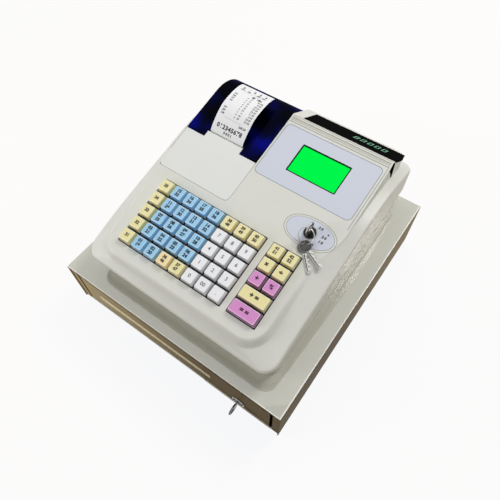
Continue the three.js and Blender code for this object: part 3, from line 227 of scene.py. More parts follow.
def lid_material():
    """Dark blue plastic: near black at the crest, with soft blue patches lower down as painted light through
    it.
    """
    made = material("blue_lid", (6, 10, 60), 0.12, mottle=(0.1, 14), uneven=0.03, specular=0,
                    coat=(0.03, 0.06))
    tree = made.node_tree
    place = tree.nodes["Texture Coordinate"].outputs["Object"]
    # The blue patches are light shining through the plastic, painted into its colour; they fade out at the
    # crest.
    crest = spread(tree, split(tree, place)["Z"], 0, 0.22, 0.211, 0.221)
    painted_glow_share = add_node(tree, "Math", {0: noise(tree, place, 30, 0.5), 1: crest}, operation="SUBTRACT")
    ramp = add_node(tree, "ValToRGB", {"Fac": painted_glow_share.outputs["Value"]})
    stops = ramp.color_ramp.elements
    stops[0].position, stops[0].color = 0.28, srgb(1, 2, 12)
    stops[1].position, stops[1].color = 0.66, srgb(6, 12, 120)
    for position, color in ((0.42, srgb(2, 4, 40)), (0.53, srgb(3, 6, 72))):
        stops.new(position).color = color
    feed(tree, tree.nodes["Principled BSDF"], {"Base Color": ramp.outputs["Color"]})
    return made


def paint_material():
    """Baked enamel: a glossy flat top, and satin sides tinted cream to brown as painted shade and reflection.
    """
    made = material("cream_paint", (191, 190, 176), 0.42, grain=(0.08, 420), mottle=(0.02, 30), uneven=0.05,
                    coat=(1, 0.04), coat_ior=1.9, specular=0.008, edge=0.0004)
    tree = made.node_tree
    facing = split(tree, add_node(tree, "NewGeometry").outputs["Normal"])
    flat = spread(tree, facing["Z"], 0, 1, 0.6, 0.9)
    place = split(tree, tree.nodes["Texture Coordinate"].outputs["Object"])
    # Painted shade and painted warm reflection: the sides grow darker and browner towards the right and the
    # front.
    shift = add_node(tree, "Math", {0: place["Y"], 1: -0.72, 2: place["X"]}, operation="MULTIPLY_ADD")
    painted_shade_share = spread(tree, shift.outputs["Value"], 0, 1, -0.04, 0.21)
    sides = mixed(tree, painted_shade_share, (0.95, 0.79, 0.52, 1), (0.26, 0.185, 0.09, 1))
    surface = tree.nodes["Principled BSDF"]
    plain_color = surface.inputs["Base Color"].links[0].from_socket
    color = mixed(tree, 1, plain_color, mixed(tree, flat, sides, (1, 1, 1, 1)), "MULTIPLY")
    feed(tree, surface, {"Base Color": color, "Coat Weight": flat})
    return made


M = {
    "ivory": material("ivory_case", (222, 222, 214), 0.4, grain=(0.3, 1500), mottle=(0.018, 30), edge=0.0006),
    "ivory_cover": material("ivory_cover", (229, 230, 226), 0.36, grain=(0.3, 1500), mottle=(0.015, 30),
                            edge=0.0005),
    "ivory_lower": material("ivory_lower", (212, 211, 200), 0.42, grain=(0.3, 1500), edge=0.0005),
    "band": material("hood_band", (200, 197, 187), 0.42, grain=(0.3, 1500), mottle=(0.04, 30)),
    "paint": paint_material(),
    "paint_in": material("cream_inside", (178, 174, 158), 0.4, grain=(0.1, 420)),
    # The next three are painted highlights: on the media slot's beads, on hems and on folded edges.
    "cream": material("painted_slot_highlight", (255, 242, 208), 0.4, mottle=(0.03, 60)),
    "hem": material("painted_hem_highlight", (236, 231, 214), 0.4, grain=(0.1, 900), mottle=(0.04, 60)),
    "fold_highlight": material("painted_fold_highlight", (250, 249, 244), 0.3, mottle=(0.03, 40)),
    "zinc": material("zinc_plate", (176, 178, 180), 0.34, metal=1, grain=(0.06, 900), mottle=(0.08, 120),
                     edge=0.0003),
    # The nickel's strong light and dark patches are painted reflections.
    "chrome": material("nickel_painted_reflections", (158, 158, 156), 0.2, metal=1, grain=(0.12, 500), mottle=(0.35, 420),
                       edge=0.0003),
    "steel": material("worn_steel", (178, 177, 174), 0.24, metal=1, mottle=(0.1, 300), edge=0.0002),
    "bow_steel": material("bow_steel", (112, 110, 108), 0.3, metal=1, mottle=(0.3, 500)),
    "gold": material("gold_contact", (214, 176, 96), 0.25, metal=1, mottle=(0.1, 600)),
    # Dark steel: the dark faces of the lock plug and key bows, and painted shade in grooves.
    "recess": material("dark_steel_and_recess_shade", (34, 32, 31), 0.45, grain=(0.2, 900), mottle=(0.4, 700)),
    "tray": material("tray_black", (38, 38, 40), 0.5, grain=(0.35, 1500), mottle=(0.08, 30), edge=0.0005),
    "mech": material("mech_black", (30, 31, 34), 0.42, grain=(0.2, 1500), mottle=(0.06, 30), edge=0.0003),
    "plate": material("port_plate", (20, 20, 22), 0.5, grain=(0.3, 1500), mottle=(0.08, 30), specular=0.25),
    "well": material("key_well", (30, 29, 27), 0.5, grain=(0.2, 1500), mottle=(0.12, 30), specular=0.2),
    "black": material("gloss_black", (9, 9, 10), 0.2, mottle=(0.15, 200), specular=0.3),
    # Near black: black parts, and painted shade in gaps, slots, seams and keyways.
    "gap": material("black_and_gap_shade", (10, 9, 8), 0.7, mottle=(0.1, 30), specular=0),
    "rubber": material("platen_rubber", (34, 34, 34), 0.75, grain=(0.3, 2600), mottle=(0.1, 30)),
    "board": material("solder_mask", (24, 98, 52), 0.3, grain=(0.1, 900), mottle=(0.15, 200)),
    "lid": lid_material(),
    "window": material("smoked_window", (7, 8, 8), 0.22, mottle=(0.2, 60), uneven=0.03, specular=0,
                       coat=(0.015, 0.05)),
    "paper": material("thermal_paper", (249, 249, 251), 0.6, grain=(0.15, 3000), mottle=(0.02, 90)),
    "ink": material("thermal_ink", (18, 18, 22), 0.6, mottle=(0.3, 900)),
    "label": material("lilac_film", (207, 211, 224), 0.28, mottle=(0.004, 60), uneven=0.01, coat=(0.3, 0.05)),
    "line": material("printed_line", (104, 106, 116), 0.4, mottle=(0.1, 300)),
    "dark_mark": material("printed_mark", (40, 42, 48), 0.4, mottle=(0.15, 400)),
    "groove": material("painted_groove_shade", (96, 93, 84), 0.5, mottle=(0.1, 300)),
    "lcd": material("green_screen", (0, 30, 6), 0.16, mottle=(0.02, 30), uneven=0.04, specular=0,
                    glow=((0, 252, 76), 0.94)),
    "lcd_frame": material("screen_frame", (4, 16, 9), 0.3, mottle=(0.1, 30), specular=0.1),
    "segment": material("green_segment", (22, 74, 54), 0.3, mottle=(0.25, 300), glow=((92, 190, 142), 0.7)),
    "rim": material("key_rim", (206, 208, 208), 0.14, mottle=(0.08, 200), coat=(0.5, 0.04)),
}

# Key colours by letter: top, side, ink and how bold it is; o is a warmer yellow
# The side colours are a little darker than the tops: painted shade.
KEY_COLORS = {
    "b": ((152, 206, 240), (142, 200, 238), (12, 22, 38), 0.06),
    "y": ((241, 230, 168), (240, 226, 158), (40, 32, 14), 0.055),
    "w": ((243, 243, 245), (232, 232, 236), (84, 82, 82), 0.012),
    "p": ((220, 142, 205), (190, 116, 176), (52, 14, 46), 0.05),
    "o": ((248, 226, 170), (244, 222, 150), (48, 30, 14), 0.06),
}
for code, (top, side, ink, _) in KEY_COLORS.items():
    # The near white edge colour is partly the clear cover and partly a painted highlight.
    pale = [(c + 3 * 254) // 4 for c in top]
    M["top_" + code] = material("key_top_" + code, top, 0.3, grain=(0.12, 3000), mottle=(0.03, 90),
                                coat=(0.3, 0.08))
    M["side_" + code] = material("key_side_" + code, side, 0.25, grain=(0.1, 2500), mottle=(0.08, 120),
                                 coat=(0.4, 0.06))
    M["edge_" + code] = material("key_edge_" + code, pale, 0.14, mottle=(0.05, 200), coat=(0.6, 0.04))
    M["ink_" + code] = material("key_ink_" + code, ink, 0.4, mottle=(0.12, 500))


# Mesh helpers
def link_object(name, data):
    obj = bpy.data.objects.new(name, data)
    bpy.context.scene.collection.objects.link(obj)
    return obj


def shade_smooth(me, angle):
    """Smooth faces, with edges sharp where they turn by more than the angle."""
    me.polygons.foreach_set("use_smooth", [True] * len(me.polygons))
    me.set_sharp_from_angle(angle=angle * DEG)


def weigh_normals(obj):
    obj.modifiers.new("normals", "WEIGHTED_NORMAL").keep_sharp = True


def finish_mesh(name, me, body, angle):
    me.validate()
    me.update()
    shade_smooth(me, angle)
    obj = link_object(name, me)
    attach(obj, body)
    return obj


def band_faces(count, band):
    """The faces between one ring of points and the next."""
    low, high = band * count, (band + 1) * count
    return [[low + i, low + (i + 1) % count, high + (i + 1) % count, high + i] for i in range(count)]


class Build:
    """Collects the faces of one piece, in millimetres; surfaces are given by their keys in M."""

    def __init__(self):
        self.verts, self.faces, self.face_slots, self.mats = [], [], [], []

    def add_points(self, points, place=None):
        """Keeps points, moved by place, and returns the number of the first."""
        base = len(self.verts)
        self.verts += [place @ Vector(p) if place else Vector(p) for p in points]
        return base

    def add_faces(self, base, faces, mat):
        if mat not in self.mats:
            self.mats.append(mat)
        for face in faces:
            self.faces.append([base + i for i in face])
            self.face_slots.append(self.mats.index(mat))

    def add(self, points, faces, mat, place=None):
        self.add_faces(self.add_points(points, place), faces, mat)

    def rings(self, rings, mats, caps=True, place=None):
        """A skin through rings of points, with one material or one for each band and the top."""
        count, bands = len(rings[0]), len(rings) - 1
        if isinstance(mats, str):
            mats = [mats] * (bands + 1)
        base = self.add_points([p for ring in rings for p in ring], place)
        for band in range(bands):
            self.add_faces(base, band_faces(count, band), mats[band])
        if caps:
            self.add_faces(base, [range(count - 1, -1, -1)], mats[0])
            self.add_faces(base + bands * count, [range(count)], mats[-1])

    def box(self, lo, hi, mat, bevel=0.3, place=None):
        size = [b - a for a, b in zip(lo, hi)]
        bm = bmesh.new()
        bmesh.ops.create_cube(bm, size=1)
        for v in bm.verts:
            v.co = Vector([a + (c + 0.5) * s for a, c, s in zip(lo, v.co, size)])
        if bevel:
            bmesh.ops.bevel(bm, geom=list(bm.edges), offset=min(bevel, min(size) * 0.45), segments=2,
                            affect="EDGES", profile=0.5)
        bm.verts.index_update()
        self.add([v.co for v in bm.verts], [[v.index for v in f.verts] for f in bm.faces], mat, place)
        bm.free()

    def turned(self, profile, mats, place, steps, caps=True):
        """A turned form, from a profile of (radius, height)."""
        self.rings([circle(radius, height, steps=steps) for radius, height in profile], mats, caps, place)

    def done(self, name, body, angle=32):
        me = bpy.data.meshes.new(name)
        me.from_pydata([v * MM for v in self.verts], [], self.faces)
        for mat in self.mats:
            me.materials.append(M[mat])
        me.polygons.foreach_set("material_index", self.face_slots)
        return finish_mesh(name, me, body, angle)


def evaluated(obj):
    """The object's mesh with its modifiers applied."""
    depsgraph = bpy.context.evaluated_depsgraph_get()
    return bpy.data.meshes.new_from_object(obj.evaluated_get(depsgraph))


def boolean(obj, tool, operation):
    """Cuts, joins or intersects a form with a tool, which is used up."""
    cut = obj.modifiers.new("cut", "BOOLEAN")
    cut.operation = operation
    cut.object = tool
    cut.solver = "MANIFOLD"
    old = obj.data
    obj.data = evaluated(obj)
    obj.modifiers.clear()
    bpy.data.meshes.remove(old)
    bpy.data.objects.remove(tool)


def mesh_object(name, points, faces):
    me = bpy.data.meshes.new(name)
    me.from_pydata([Vector(p) * MM for p in points], [], faces)
    return link_object(name, me)


def loft(name, rings):
    """A closed form through rings of points."""
    count, bands = len(rings[0]), len(rings) - 1
    faces = [face for band in range(bands) for face in band_faces(count, band)]
    faces.append(list(range(count - 1, -1, -1)))
    faces.append(list(range(bands * count, (bands + 1) * count)))
    return mesh_object(name, [p for ring in rings for p in ring], faces)


def prism_x(name, points, x0, x1):
    """A prism along X from points (y, z), in either order."""
    area = sum(a[0] * b[1] - b[0] * a[1] for a, b in zip(points, points[1:] + points[:1]))
    if area < 0:
        points = points[::-1]
    return loft(name, [[(x, y, z) for y, z in points] for x in (x0, x1)])


def text_mesh(text, size, align="CENTER", spacing=1.0, bold=0.0):
    """Points and faces of plain flat figures."""
    curve = bpy.data.curves.new("figures", "FONT")
    curve.body = text
    curve.size = size
    curve.align_x = align
    curve.align_y = "CENTER"
    curve.space_character = spacing
    curve.offset = bold
    curve.resolution_u = 3
    obj = link_object("figures", curve)
    me = evaluated(obj)
    points = [v.co.copy() for v in me.vertices]
    faces = [list(p.vertices) for p in me.polygons]
    bpy.data.objects.remove(obj)
    bpy.data.meshes.remove(me)
    bpy.data.curves.remove(curve)
    return points, faces


# Upper case: the CAD loft drawn finely, with the same openings
def ridge_z(y):
    """Height of the rolled ridge: the lowest of the deck line, the ramp and the crest, blended."""
    deck_line = deck_z(y) - RIDGE_DROP
    ramp = deck_z(RAMP_START) - RIDGE_DROP + RAMP_SLOPE * (y - RAMP_START)
    share = max(0, y - CREST_START) / (REAR - CREST_START)
    crest = CREST_HEIGHT - CREST_FALL * share * share
    total = sum(math.exp((crest - height) / RIDGE_BLEND) for height in (deck_line, ramp, crest))
    return crest - RIDGE_BLEND * math.log(total)


def step_depth(y):
    """Depth of the step: deep in front, faint beside the keys, and down to the ridge at the hood."""
    beside = FRONT_STEP + (MIDDLE_STEP - FRONT_STEP) * smoothstep(y, PLATEAU_FRONT + CORNER, -2 * CORNER)
    hood = deck_z(y) - ridge_z(y) - HOOD_STEP
    return beside + (hood - beside) * smoothstep(y, 20, 70)


def case_ring(box, radius):
    """An outline with points close enough for the case's curves."""
    return rounded(box, radius, corner=12, side=64, end=24)


def side_ring(inset, shrink, height):
    """One ring of the case's side; height is a function of the depth y."""
    box = (-HALF + inset + shrink, HALF - inset - shrink, FRONT + inset + shrink, REAR - inset / 4 - shrink)
    return [Vector((x, y, height(y) - shrink)) for x, y in case_ring(box, CORNER - shrink)]


def step_ring(out_share, depth_share, shrink):
    """One ring of the step: round the plateau in front, and close to the hood and the lid behind."""
    out, pull = STEP_REACH * out_share, STEP_PULL * out_share
    left, right = PLATEAU_LEFT - out, PLATEAU_RIGHT + out
    middle, half = (left + right) / 2, (right - left) / 2
    box = (left + shrink, right - shrink, PLATEAU_FRONT - out + shrink, REAR - 1 - shrink)
    ring = []
    for x, y in case_ring(box, PLATEAU_RADIUS + out / 2 - shrink):
        shift = HOOD_RIGHT - PLATEAU_RIGHT - pull if x > middle else HOOD_LEFT - PLATEAU_LEFT + pull
        x += shift * smoothstep(y, -50, 20) * min(abs(x - middle) / half, 1)
        ring.append(Vector((x, y, deck_z(y) - step_depth(y) * depth_share - shrink)))
    return ring


def case_form(name, shrink):
    """The case's outside, or its hollow when shrunk; insets and rises go from the lip up."""
    lip = ((1.3, -4 * shrink), (0.9, 0.4), (0.25, 1.6))
    ridge_roll = ((0.35, -1.9), (1.2, -0.7), (2.3, -0.12), (3.6, 0.05))
    step_shares = ((1, 1), (0.84, 0.87), (0.667, 0.62), (0.49, 0.34), (0.311, 0.14), (0.15, 0.035), (0, 0))
    rings = [side_ring(inset, shrink, lambda y: PARTING + rise) for inset, rise in lip]
    rings.append(side_ring(0, shrink, lambda y: max(PARTING + 3.6, ridge_z(y) - 4)))
    rings += [side_ring(inset, shrink, lambda y: ridge_z(y) + rise) for inset, rise in ridge_roll]
    rings += [step_ring(out, depth, shrink) for out, depth in step_shares]
    return loft(name, rings)


def hood_curve(rear_y, shrink):
    """The hood's rear from below: a quadratic curve, then the slope up to its crest."""
    crest = deck_z(HOOD_CREST) - shrink
    end = crest - math.tan(HOOD_SLOPE) * (HOOD_END - HOOD_CREST)
    control = ((rear_y, end - HOOD_TURN_LOW), (rear_y, end - HOOD_TURN_HIGH), (HOOD_END, end))
    curve = [[(1 - t) ** 2 * a + 2 * t * (1 - t) * b + t * t * c for a, b, c in zip(*control)]
             for t in np.linspace(0, 1, 13)]
    return curve + [(HOOD_CREST, crest)]


def lid_curve(rear_y, shrink):
    """The printer well's rear from below, then the lid's roll."""
    wall = WELL_REAR - shrink
    radius = ROLL_RADIUS - ROLL_PROUD - shrink
    last = math.degrees(math.acos((wall - ROLL_Y) / radius))
    roll = arc(ROLL_Y, ROLL_Z, radius, last, ROLL_DEGREES, 24)
    return [(rear_y, 170 - shrink), (wall, 171 - shrink)] + roll


def under_side(curve, shrink, x0, x1):
    """The space under the deck plane and a rear curve, from x0 to x1."""
    points = [(FRONT - OVERRUN, CABINET_TOP), (REAR + OVERRUN, CABINET_TOP), (REAR + OVERRUN, 159.6)]
    points += curve(REAR - 0.8 - shrink, shrink)
    points.append((FRONT - OVERRUN, deck_z(FRONT - OVERRUN) - shrink))
    return prism_x("under_side", points, x0, x1)


def under(shrink):
    """The space that the case may fill, under the hood and under the lid."""
    hood_side = under_side(hood_curve, shrink, -21.9, HALF + OVERRUN)
    lid_side = under_side(lid_curve, shrink, -HALF - OVERRUN, -21.7)
    boolean(hood_side, lid_side, "UNION")
    return hood_side


def cover_outline(gap):
    """The access cover with its tongue, grown by the gap; its front corners are round."""
    left, right, front, rear = grown((-146.2, -22.4, -20.9, 48.2), gap)
    x0, x1, end = -114.9 - gap, -51.9 + gap, 58.4 + gap
    radius = 7
    tongue = [(x1, rear), (x1, end), (x0, end), (x0, rear)]
    return (arc(right - radius, front + radius, radius, -90, 0, 6) + [(right, rear)] + tongue + [(left, rear)]
            + arc(left + radius, front + radius, radius, 180, 270, 6))


def upright_tool(outline):
    return loft("tool", [[(x, y, z) for x, y in outline] for z in (138.5, 260)])


def deck_tool(outline, low, high=10):
    return loft("tool", on_deck_rings((outline, low), (outline, high)))


def display_tool():
    """The customer display's seat: a wedge under the hood's slope."""
    gap, front_depth, rear_depth = 0.35, 1.6, 8
    length = (HOOD_END - HOOD_CREST) / math.cos(HOOD_SLOPE)
    section = [on_slope(-gap, -3 * gap), on_slope(-gap, front_depth + 1.5 * gap),
               on_slope(length + gap, rear_depth + 1.5 * gap), on_slope(length + gap, -3 * gap)]
    return prism_x("tool", section, -4.95, 165)


def upper_case():
    shell = case_form("upper_case_shell", 0)
    boolean(shell, under(0), "INTERSECT")
    hollow = case_form("hollow", WALL)
    boolean(hollow, under(WALL), "INTERSECT")
    boolean(shell, hollow, "DIFFERENCE")
    tools = [upright_tool([(-148.2, 48.5), (-21.9, 48.5), (-21.9, 189.6), (-148.2, 189.6)]),
             upright_tool(cover_outline(0.5))]
    tools += [deck_tool(rounded(grown(key_block(name), 0.5), 1.2), -15) for name in BLOCKS]
    tools.append(deck_tool(rounded(grown(LABEL, 0.3), 7.3), -1.2))
    tools.append(deck_tool(rounded(SCREEN, 1), -10))
    tools.append(deck_tool(circle(7.6, 0, (LOCK_X, LOCK_V), 39), -10))
    tools.append(display_tool())
    for tool in tools:
        boolean(shell, tool, "DIFFERENCE")
    shell.data.materials.clear()
    shell.data.materials.append(M["ivory"])
    shade_smooth(shell.data, 34)
    weigh_normals(shell)
    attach(shell, ROOT)
    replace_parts(shell, "upper_case")
    return shell


SHELL = upper_case()


# CAD nodes that keep their shape: fine bevels, smooth faces and a finish each
def soft_corners():
    """Shades a mesh smooth, with edges sharp that turn by more than 30 degrees."""
    group = bpy.data.node_groups.new("soft_corners", "GeometryNodeTree")
    for way in ("INPUT", "OUTPUT"):
        group.interface.new_socket("Geometry", in_out=way, socket_type="NodeSocketGeometry")
    start, faces, edges, end, turn, flat = [group.nodes.new(kind) for kind in (
        "NodeGroupInput", "GeometryNodeSetShadeSmooth", "GeometryNodeSetShadeSmooth", "NodeGroupOutput",
        "GeometryNodeInputMeshEdgeAngle", "FunctionNodeCompare")]
    faces.domain = "FACE"
    edges.domain = "EDGE"
    flat.operation = "LESS_THAN"
    feed(group, flat, {"A": turn.outputs["Unsigned Angle"], "B": 30 * DEG})
    feed(group, faces, {"Geometry": start.outputs["Geometry"]})
    feed(group, edges, {"Geometry": faces.outputs["Geometry"], "Shade Smooth": flat.outputs["Result"]})
    feed(group, end, {"Geometry": edges.outputs["Geometry"]})
    return group


SOFT_CORNERS = soft_corners()


def dress(obj, mat, bevel):
    """A finish for a CAD node, whose mesh is left alone."""
    obj.data.materials.clear()
    obj.data.materials.append(mat)
    obj.modifiers.new("weld", "WELD").merge_threshold = 1e-6
    if bevel:
        soft = obj.modifiers.new("bevel", "BEVEL")
        soft.width = bevel * MM
        soft.segments = 2
        soft.limit_method = "ANGLE"
        soft.angle_limit = 40 * DEG
    obj.modifiers.new("soft_corners", "NODES").node_group = SOFT_CORNERS
    weigh_normals(obj)


# The CAD nodes of each finish, with their bevels
FINISHES = {
    "paint": {"drawer_cabinet": 0.7, "drawer_front": 0.25},
    "paint_in": {"cabinet_base": 0, "drawer_box": 0},
    "zinc": {"left_runner": 0, "right_runner": 0, "latch_unit": 0.2,
             "note_clip_1": 0, "note_clip_2": 0, "note_clip_3": 0, "note_clip_4": 0},
    "ivory_lower": {"lower_case": 0.3}, "ivory_cover": {"access_cover": 0.25}, "lid": {"printer_lid": 0.3},
    "paper": {"paper_roll": 0}, "rubber": {"platen_roller": 0}, "mech": {"print_mechanism": 0.2},
    "window": {"customer_display": 0}, "label": {"label_panel": 0.15}, "lcd_frame": {"screen_module": 0},
    "black": {"control_lock": 0.4}, "tray": {"cash_tray": 0.4}, "board": {"main_board": 0.15},
    "plate": {"rear_ports": 0.3},
}
for mat, bevels in FINISHES.items():
    for node, bevel in bevels.items():
        dress(NODES[node], M[mat], bevel)


# Keyboard: a letter for the colour of each cap, front row first, and a capital for one two columns wide
CAPS = {
    "main": ["ybboywww", "ybbbbwww", "ybbbbwww", "ybbbbwww", "ybbbbyyy"],
    "side": ["P", "Y", "pp", "yy", "yy"],
}
WORD = {"b": "blue", "y": "yellow", "w": "white", "p": "pink", "o": "yellow"}
BLUE_KEYS = 18

# Plain figures and signs on the caps; the blue ones are numbered as they are made
MARKS = {
    "main": [["31", "", "", "36\n46", "37\n47", "0", "00", "."], ["32", "", "", "", "", "1", "2", "3"],
             ["33", "", "", "", "", "4", "5", "6"], ["34", "", "", "", "", "7", "8", "9"],
             ["35", "", "", "", "", "38\n48", "39\n49", "40\n50"]],
    "side": [["= ="], ["+ ="], ["+", "%"], ["×", "÷"], ["41\n51", "42\n52"]],
}

# Rings of a cap from the foot up: half width, corner radius, height and the surface over the ring
# Painted shade: the dark well colour on the foot. Painted highlight, partly the clear cover: the rim and edge
# rings.
CAP_RINGS = [
    (9.6, 1.0, -2.2, "well"), (10.1, 1.2, -1.9, "well"), (10.15, 1.2, -0.2, "well"), (9.95, 1.2, 0.1, "rim"),
    (9.75, 1.2, 0.15, "rim"), (9.65, 1.2, 0.9, "well"), (9.4, 1.2, 1.0, "side"), (9.05, 1.3, 3.0, "side"),
    (8.72, 1.3, 5.2, "side"), (8.5, 1.3, 6.5, "side"), (8.32, 1.3, 7.15, "edge"), (8.12, 1.2, 7.5, "edge"),
    (7.9, 1.2, 7.6, "edge"), (7.75, 1.1, 7.58, "edge"), (7.62, 1.1, 7.4, "top"), (6.2, 0.9, 7.36, "top"),
    (3.0, 0.6, 7.33, "top"),
]
INK_HEIGHT = 7.46


def mark_size(code, mark):
    if code in "bw":
        return {"b": 6.5, "w": 7.4}[code]
    if mark[-2:].isdigit():
        return 6 if "\n" in mark else 6.4
    return 8 if mark == "%" else 9


def cap(build, x, v, wide, code, mark):
    """One key: a coloured block under a clear cover, whose rim stands over the inset label."""
    extra = (wide - 1) * PITCH / 2
    rings = [(rounded((x - half - extra, x + half + extra, v - half, v + half), radius), height)
             for half, radius, height, _ in CAP_RINGS]
    surfaces = [surface if surface in M else f"{surface}_{code}" for *_, surface in CAP_RINGS]
    build.rings(on_deck_rings(*rings), surfaces)
    size = mark_size(code, mark)
    boldness = KEY_COLORS[code][-1]
    points, faces = text_mesh(mark, size, bold=boldness * size)
    build.add([on_deck(x + p.x, v + p.y, INK_HEIGHT) for p in points], faces, "ink_" + code)


def stem(build, x, v, half, low, high):
    build.box((x - half, v - half, low), (x + half, v + half, high), "well", 0.3, DECK)


def moving_key(name, x, v, wide, code, mark):
    piece = Build()
    cap(piece, x, v, wide, code, mark)
    stem(piece, x, v, 3, -11.2, -1.5)
    obj = piece.done(name.replace("key_", "cap_"), name + "_body", 40)
    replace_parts(obj, name)


def key_frame(plate, block):
    outer, inner = rounded(grown(block, 2.4), 1.5), rounded(grown(block, 0.5), 1.2)
    plate.rings(on_deck_rings((outer, -7.7), (outer, -2.8), (inner, -2.8), (inner, -5.7)), "well")


def keyboard():
    plate = Build()
    blue = 0
    for tag, rows in CAPS.items():
        for row, letters in enumerate(rows):
            column = 0
            for letter, mark in zip(letters, MARKS[tag][row]):
                wide = 2 if letter.isupper() else 1
                code = letter.lower()
                x = BLOCKS[tag][0] + (column + wide / 2) * PITCH
                v = KEY_FRONT + (row + 0.5) * PITCH
                if code == "b":
                    blue += 1
                    cap(plate, x, v, wide, code, f"{blue:02d}\n{blue + BLUE_KEYS:02d}")
                    stem(plate, x, v, 6.4, -7.6, -1)
                else:
                    moving_key(f"key_{tag}_r{row + 1}_c{column + 1}_{WORD[code]}", x, v, wide, code, mark)
                column += wide
    for name in BLOCKS:
        key_frame(plate, key_block(name))
    obj = plate.done("keyboard_plate_and_blue_caps", ROOT, 40)
    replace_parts(obj, "keyboard_unit")


keyboard()

# Screens, films and fine lines
SKIN = BVHTree.FromObject(SHELL, bpy.context.evaluated_depsgraph_get())
ABOVE = 300
DOWN = Vector((0, 0, -1))


def skin_point(x, y, lift):
    """The point of the moulding over (x, y), raised by lift."""
    hit, normal, _, _ = SKIN.ray_cast(Vector((x, y, ABOVE)) * MM, DOWN)
    return hit / MM + normal * lift


def draped_line(build, points, width, mat, lift=0.06, columns=1, taper=1.0):
    """A line that follows the moulding through points (x, y); taper is the width left at its end."""
    last = len(points) - 1
    rows = []
    for k, (x, y) in enumerate(points):
        along = (Vector(points[min(k + 1, last)]) - Vector(points[max(k - 1, 0)])).normalized()
        side = Vector((-along.y, along.x)) * width * (1 + (taper - 1) * k / last)
        shares = [0.5 - c / columns for c in range(columns + 1)]
        rows.append([skin_point(x + side.x * share, y + side.y * share, lift) for share in shares])
    wide = columns + 1
    faces = [[k * wide + c, k * wide + c + 1, (k + 1) * wide + c + 1, (k + 1) * wide + c]
             for k in range(last) for c in range(columns)]
    build.add([p for row in rows for p in row], faces, mat)


def screens():
    """The operator's screen: a glowing pane and a dark rim round it."""
    glow = Build()
    pane = rounded(grown(SCREEN, -1.2), 0.3)
    glow.rings(on_deck_rings((pane, -2.05), (pane, -1.95)), "lcd")
    glow.done("screen_glow", ROOT)
    rim = Build()
    outer, inner = rounded(SCREEN, 0.6), rounded(grown(SCREEN, -1.6), 0.2)
    rim.rings(on_deck_rings((outer, 0.02), (outer, 0.06), (inner, 0.06), (inner, -2.0)), "lcd_frame", False)
    rim.done("screen_rim", ROOT)


def lock_oval(half_x, half_v):
    """A slightly squared oval round the control lock, as points (x, y)."""
    steps, power = 72, 2 / 2.15

    def squared(share):
        return math.copysign(abs(share) ** power, share)
    return [(LOCK_X + half_x * squared(x), (LOCK_V + half_v * squared(y)) * COS)
            for x, y, _ in circle(1, steps=steps)]


def escutcheon():
    """The printed oval round the control lock, and the fine ring round that."""
    film = Build()

    def oval(half_x, half_v, lift=0.12):
        return [skin_point(x, y, lift) for x, y in lock_oval(half_x, half_v)]
    film.rings([oval(34, 18.6), oval(26, 14), oval(18, 11.6), oval(9.2, 9.2)], "label", False)
    film.rings([oval(34.5, 19.1, 0.03), oval(34, 18.6)], "line", False)
    marks = (("3 0", 9, 12.4), ("2 0", 19, 3.4), ("1 0", 18.5, -4.4), ("0 0", 9.4, -13), ("+", 22, 9))
    for mark, dx, dv in marks:
        points, faces = text_mesh(mark, 4.8, bold=0.34)
        film.add([on_deck(LOCK_X + dx + p.x, LOCK_V + dv + p.y, 0.2) for p in points], faces, "dark_mark")
    film.done("lock_film", ROOT)
    # The ring round it is a fine groove drawn as a dark line of painted shade.
    ring = Build()
    points = lock_oval(37.4, 21.6)
    draped_line(ring, points + points[:2], 0.5, "groove")
    ring.done("lock_film_ring", ROOT)


def fine_lines():
    """Grooves and bands over the hood's crest and right edge, and the label's printed edge."""
    lines = Build()
    # The grooves across the crest are dark lines of painted shade.
    across = ((130.4, 0.7, "groove"), (134.2, 3.4, "band"), (137, 0.8, "groove"), (140.4, 1.6, "band"))
    for y, width, mat in across:
        draped_line(lines, [(x, y) for x in np.linspace(-20, HOOD_RIGHT - 3.2, 40)], width, mat, 0.1, 4)
    # Along the right edge: a dark line of painted shade for a groove, and a strip of painted highlight beside
    # it.
    for inset, width, mat in ((3, 0.6, "groove"), (2.3, 0.5, "ivory_cover")):
        draped_line(lines, [(HOOD_RIGHT - inset, y) for y in np.linspace(26, 131, 40)], width, mat)
    # Painted shade in the seam at the hood's right corner, tapering towards the front.
    corner = [(HOOD_RIGHT + 0.3, y) for y in np.linspace(142.4, 127, 10)]
    draped_line(lines, corner, 3, "gap", 0.1, 12, 0.1)
    lines.done("hood_lines", ROOT)
    edge = Build()
    outer, inner = rounded(LABEL_LINE, 7.6), rounded(grown(LABEL_LINE, -0.65), 7.0)
    edge.rings(on_deck_rings((outer, 0.05), (inner, 0.05)), "line", False)
    edge.done("label_edge", ROOT)


SEGMENTS = {"0": "abcdef", "8": "abcdefg"}


def segment_digits(text, size, gap):
    """Slanted seven-segment figures, as quads round the origin."""
    w, h, t = size * 0.56, size, size * 0.1
    slant, join = 0.14, 0.1
    bars = {"a": (0, h - t, w, h), "g": (t, (h - t) / 2, w - t, (h + t) / 2), "d": (0, 0, w, t),
            "f": (0, h / 2, t, h - t), "b": (w - t, h / 2, w, h - t), "e": (0, t, t, h / 2 - join),
            "c": (w - t, t, w, h / 2 - join)}
    quads = []
    for k, letter in enumerate(text):
        left = (k - (len(text) - 1) / 2) * gap - w / 2
        for name in SEGMENTS[letter]:
            x0, y0, x1, y1 = bars[name]
            corners = ((x0, y0), (x1, y0), (x1, y1), (x0, y1))
            quads.append([(left + x + slant * y, y - h / 2) for x, y in corners])
    return quads


def customer_figures():
    """The customer display's digits."""
    middle_x, middle_along, lift = 95, 25, 0.06
    figures = Build()
    for quad in segment_digits("00008", 12, 11):
        points = [(middle_x - x, *on_slope(middle_along - y, -lift)) for x, y in quad]
        figures.add(points, [[0, 1, 2, 3]], "segment")
    figures.done("customer_figures", ROOT)


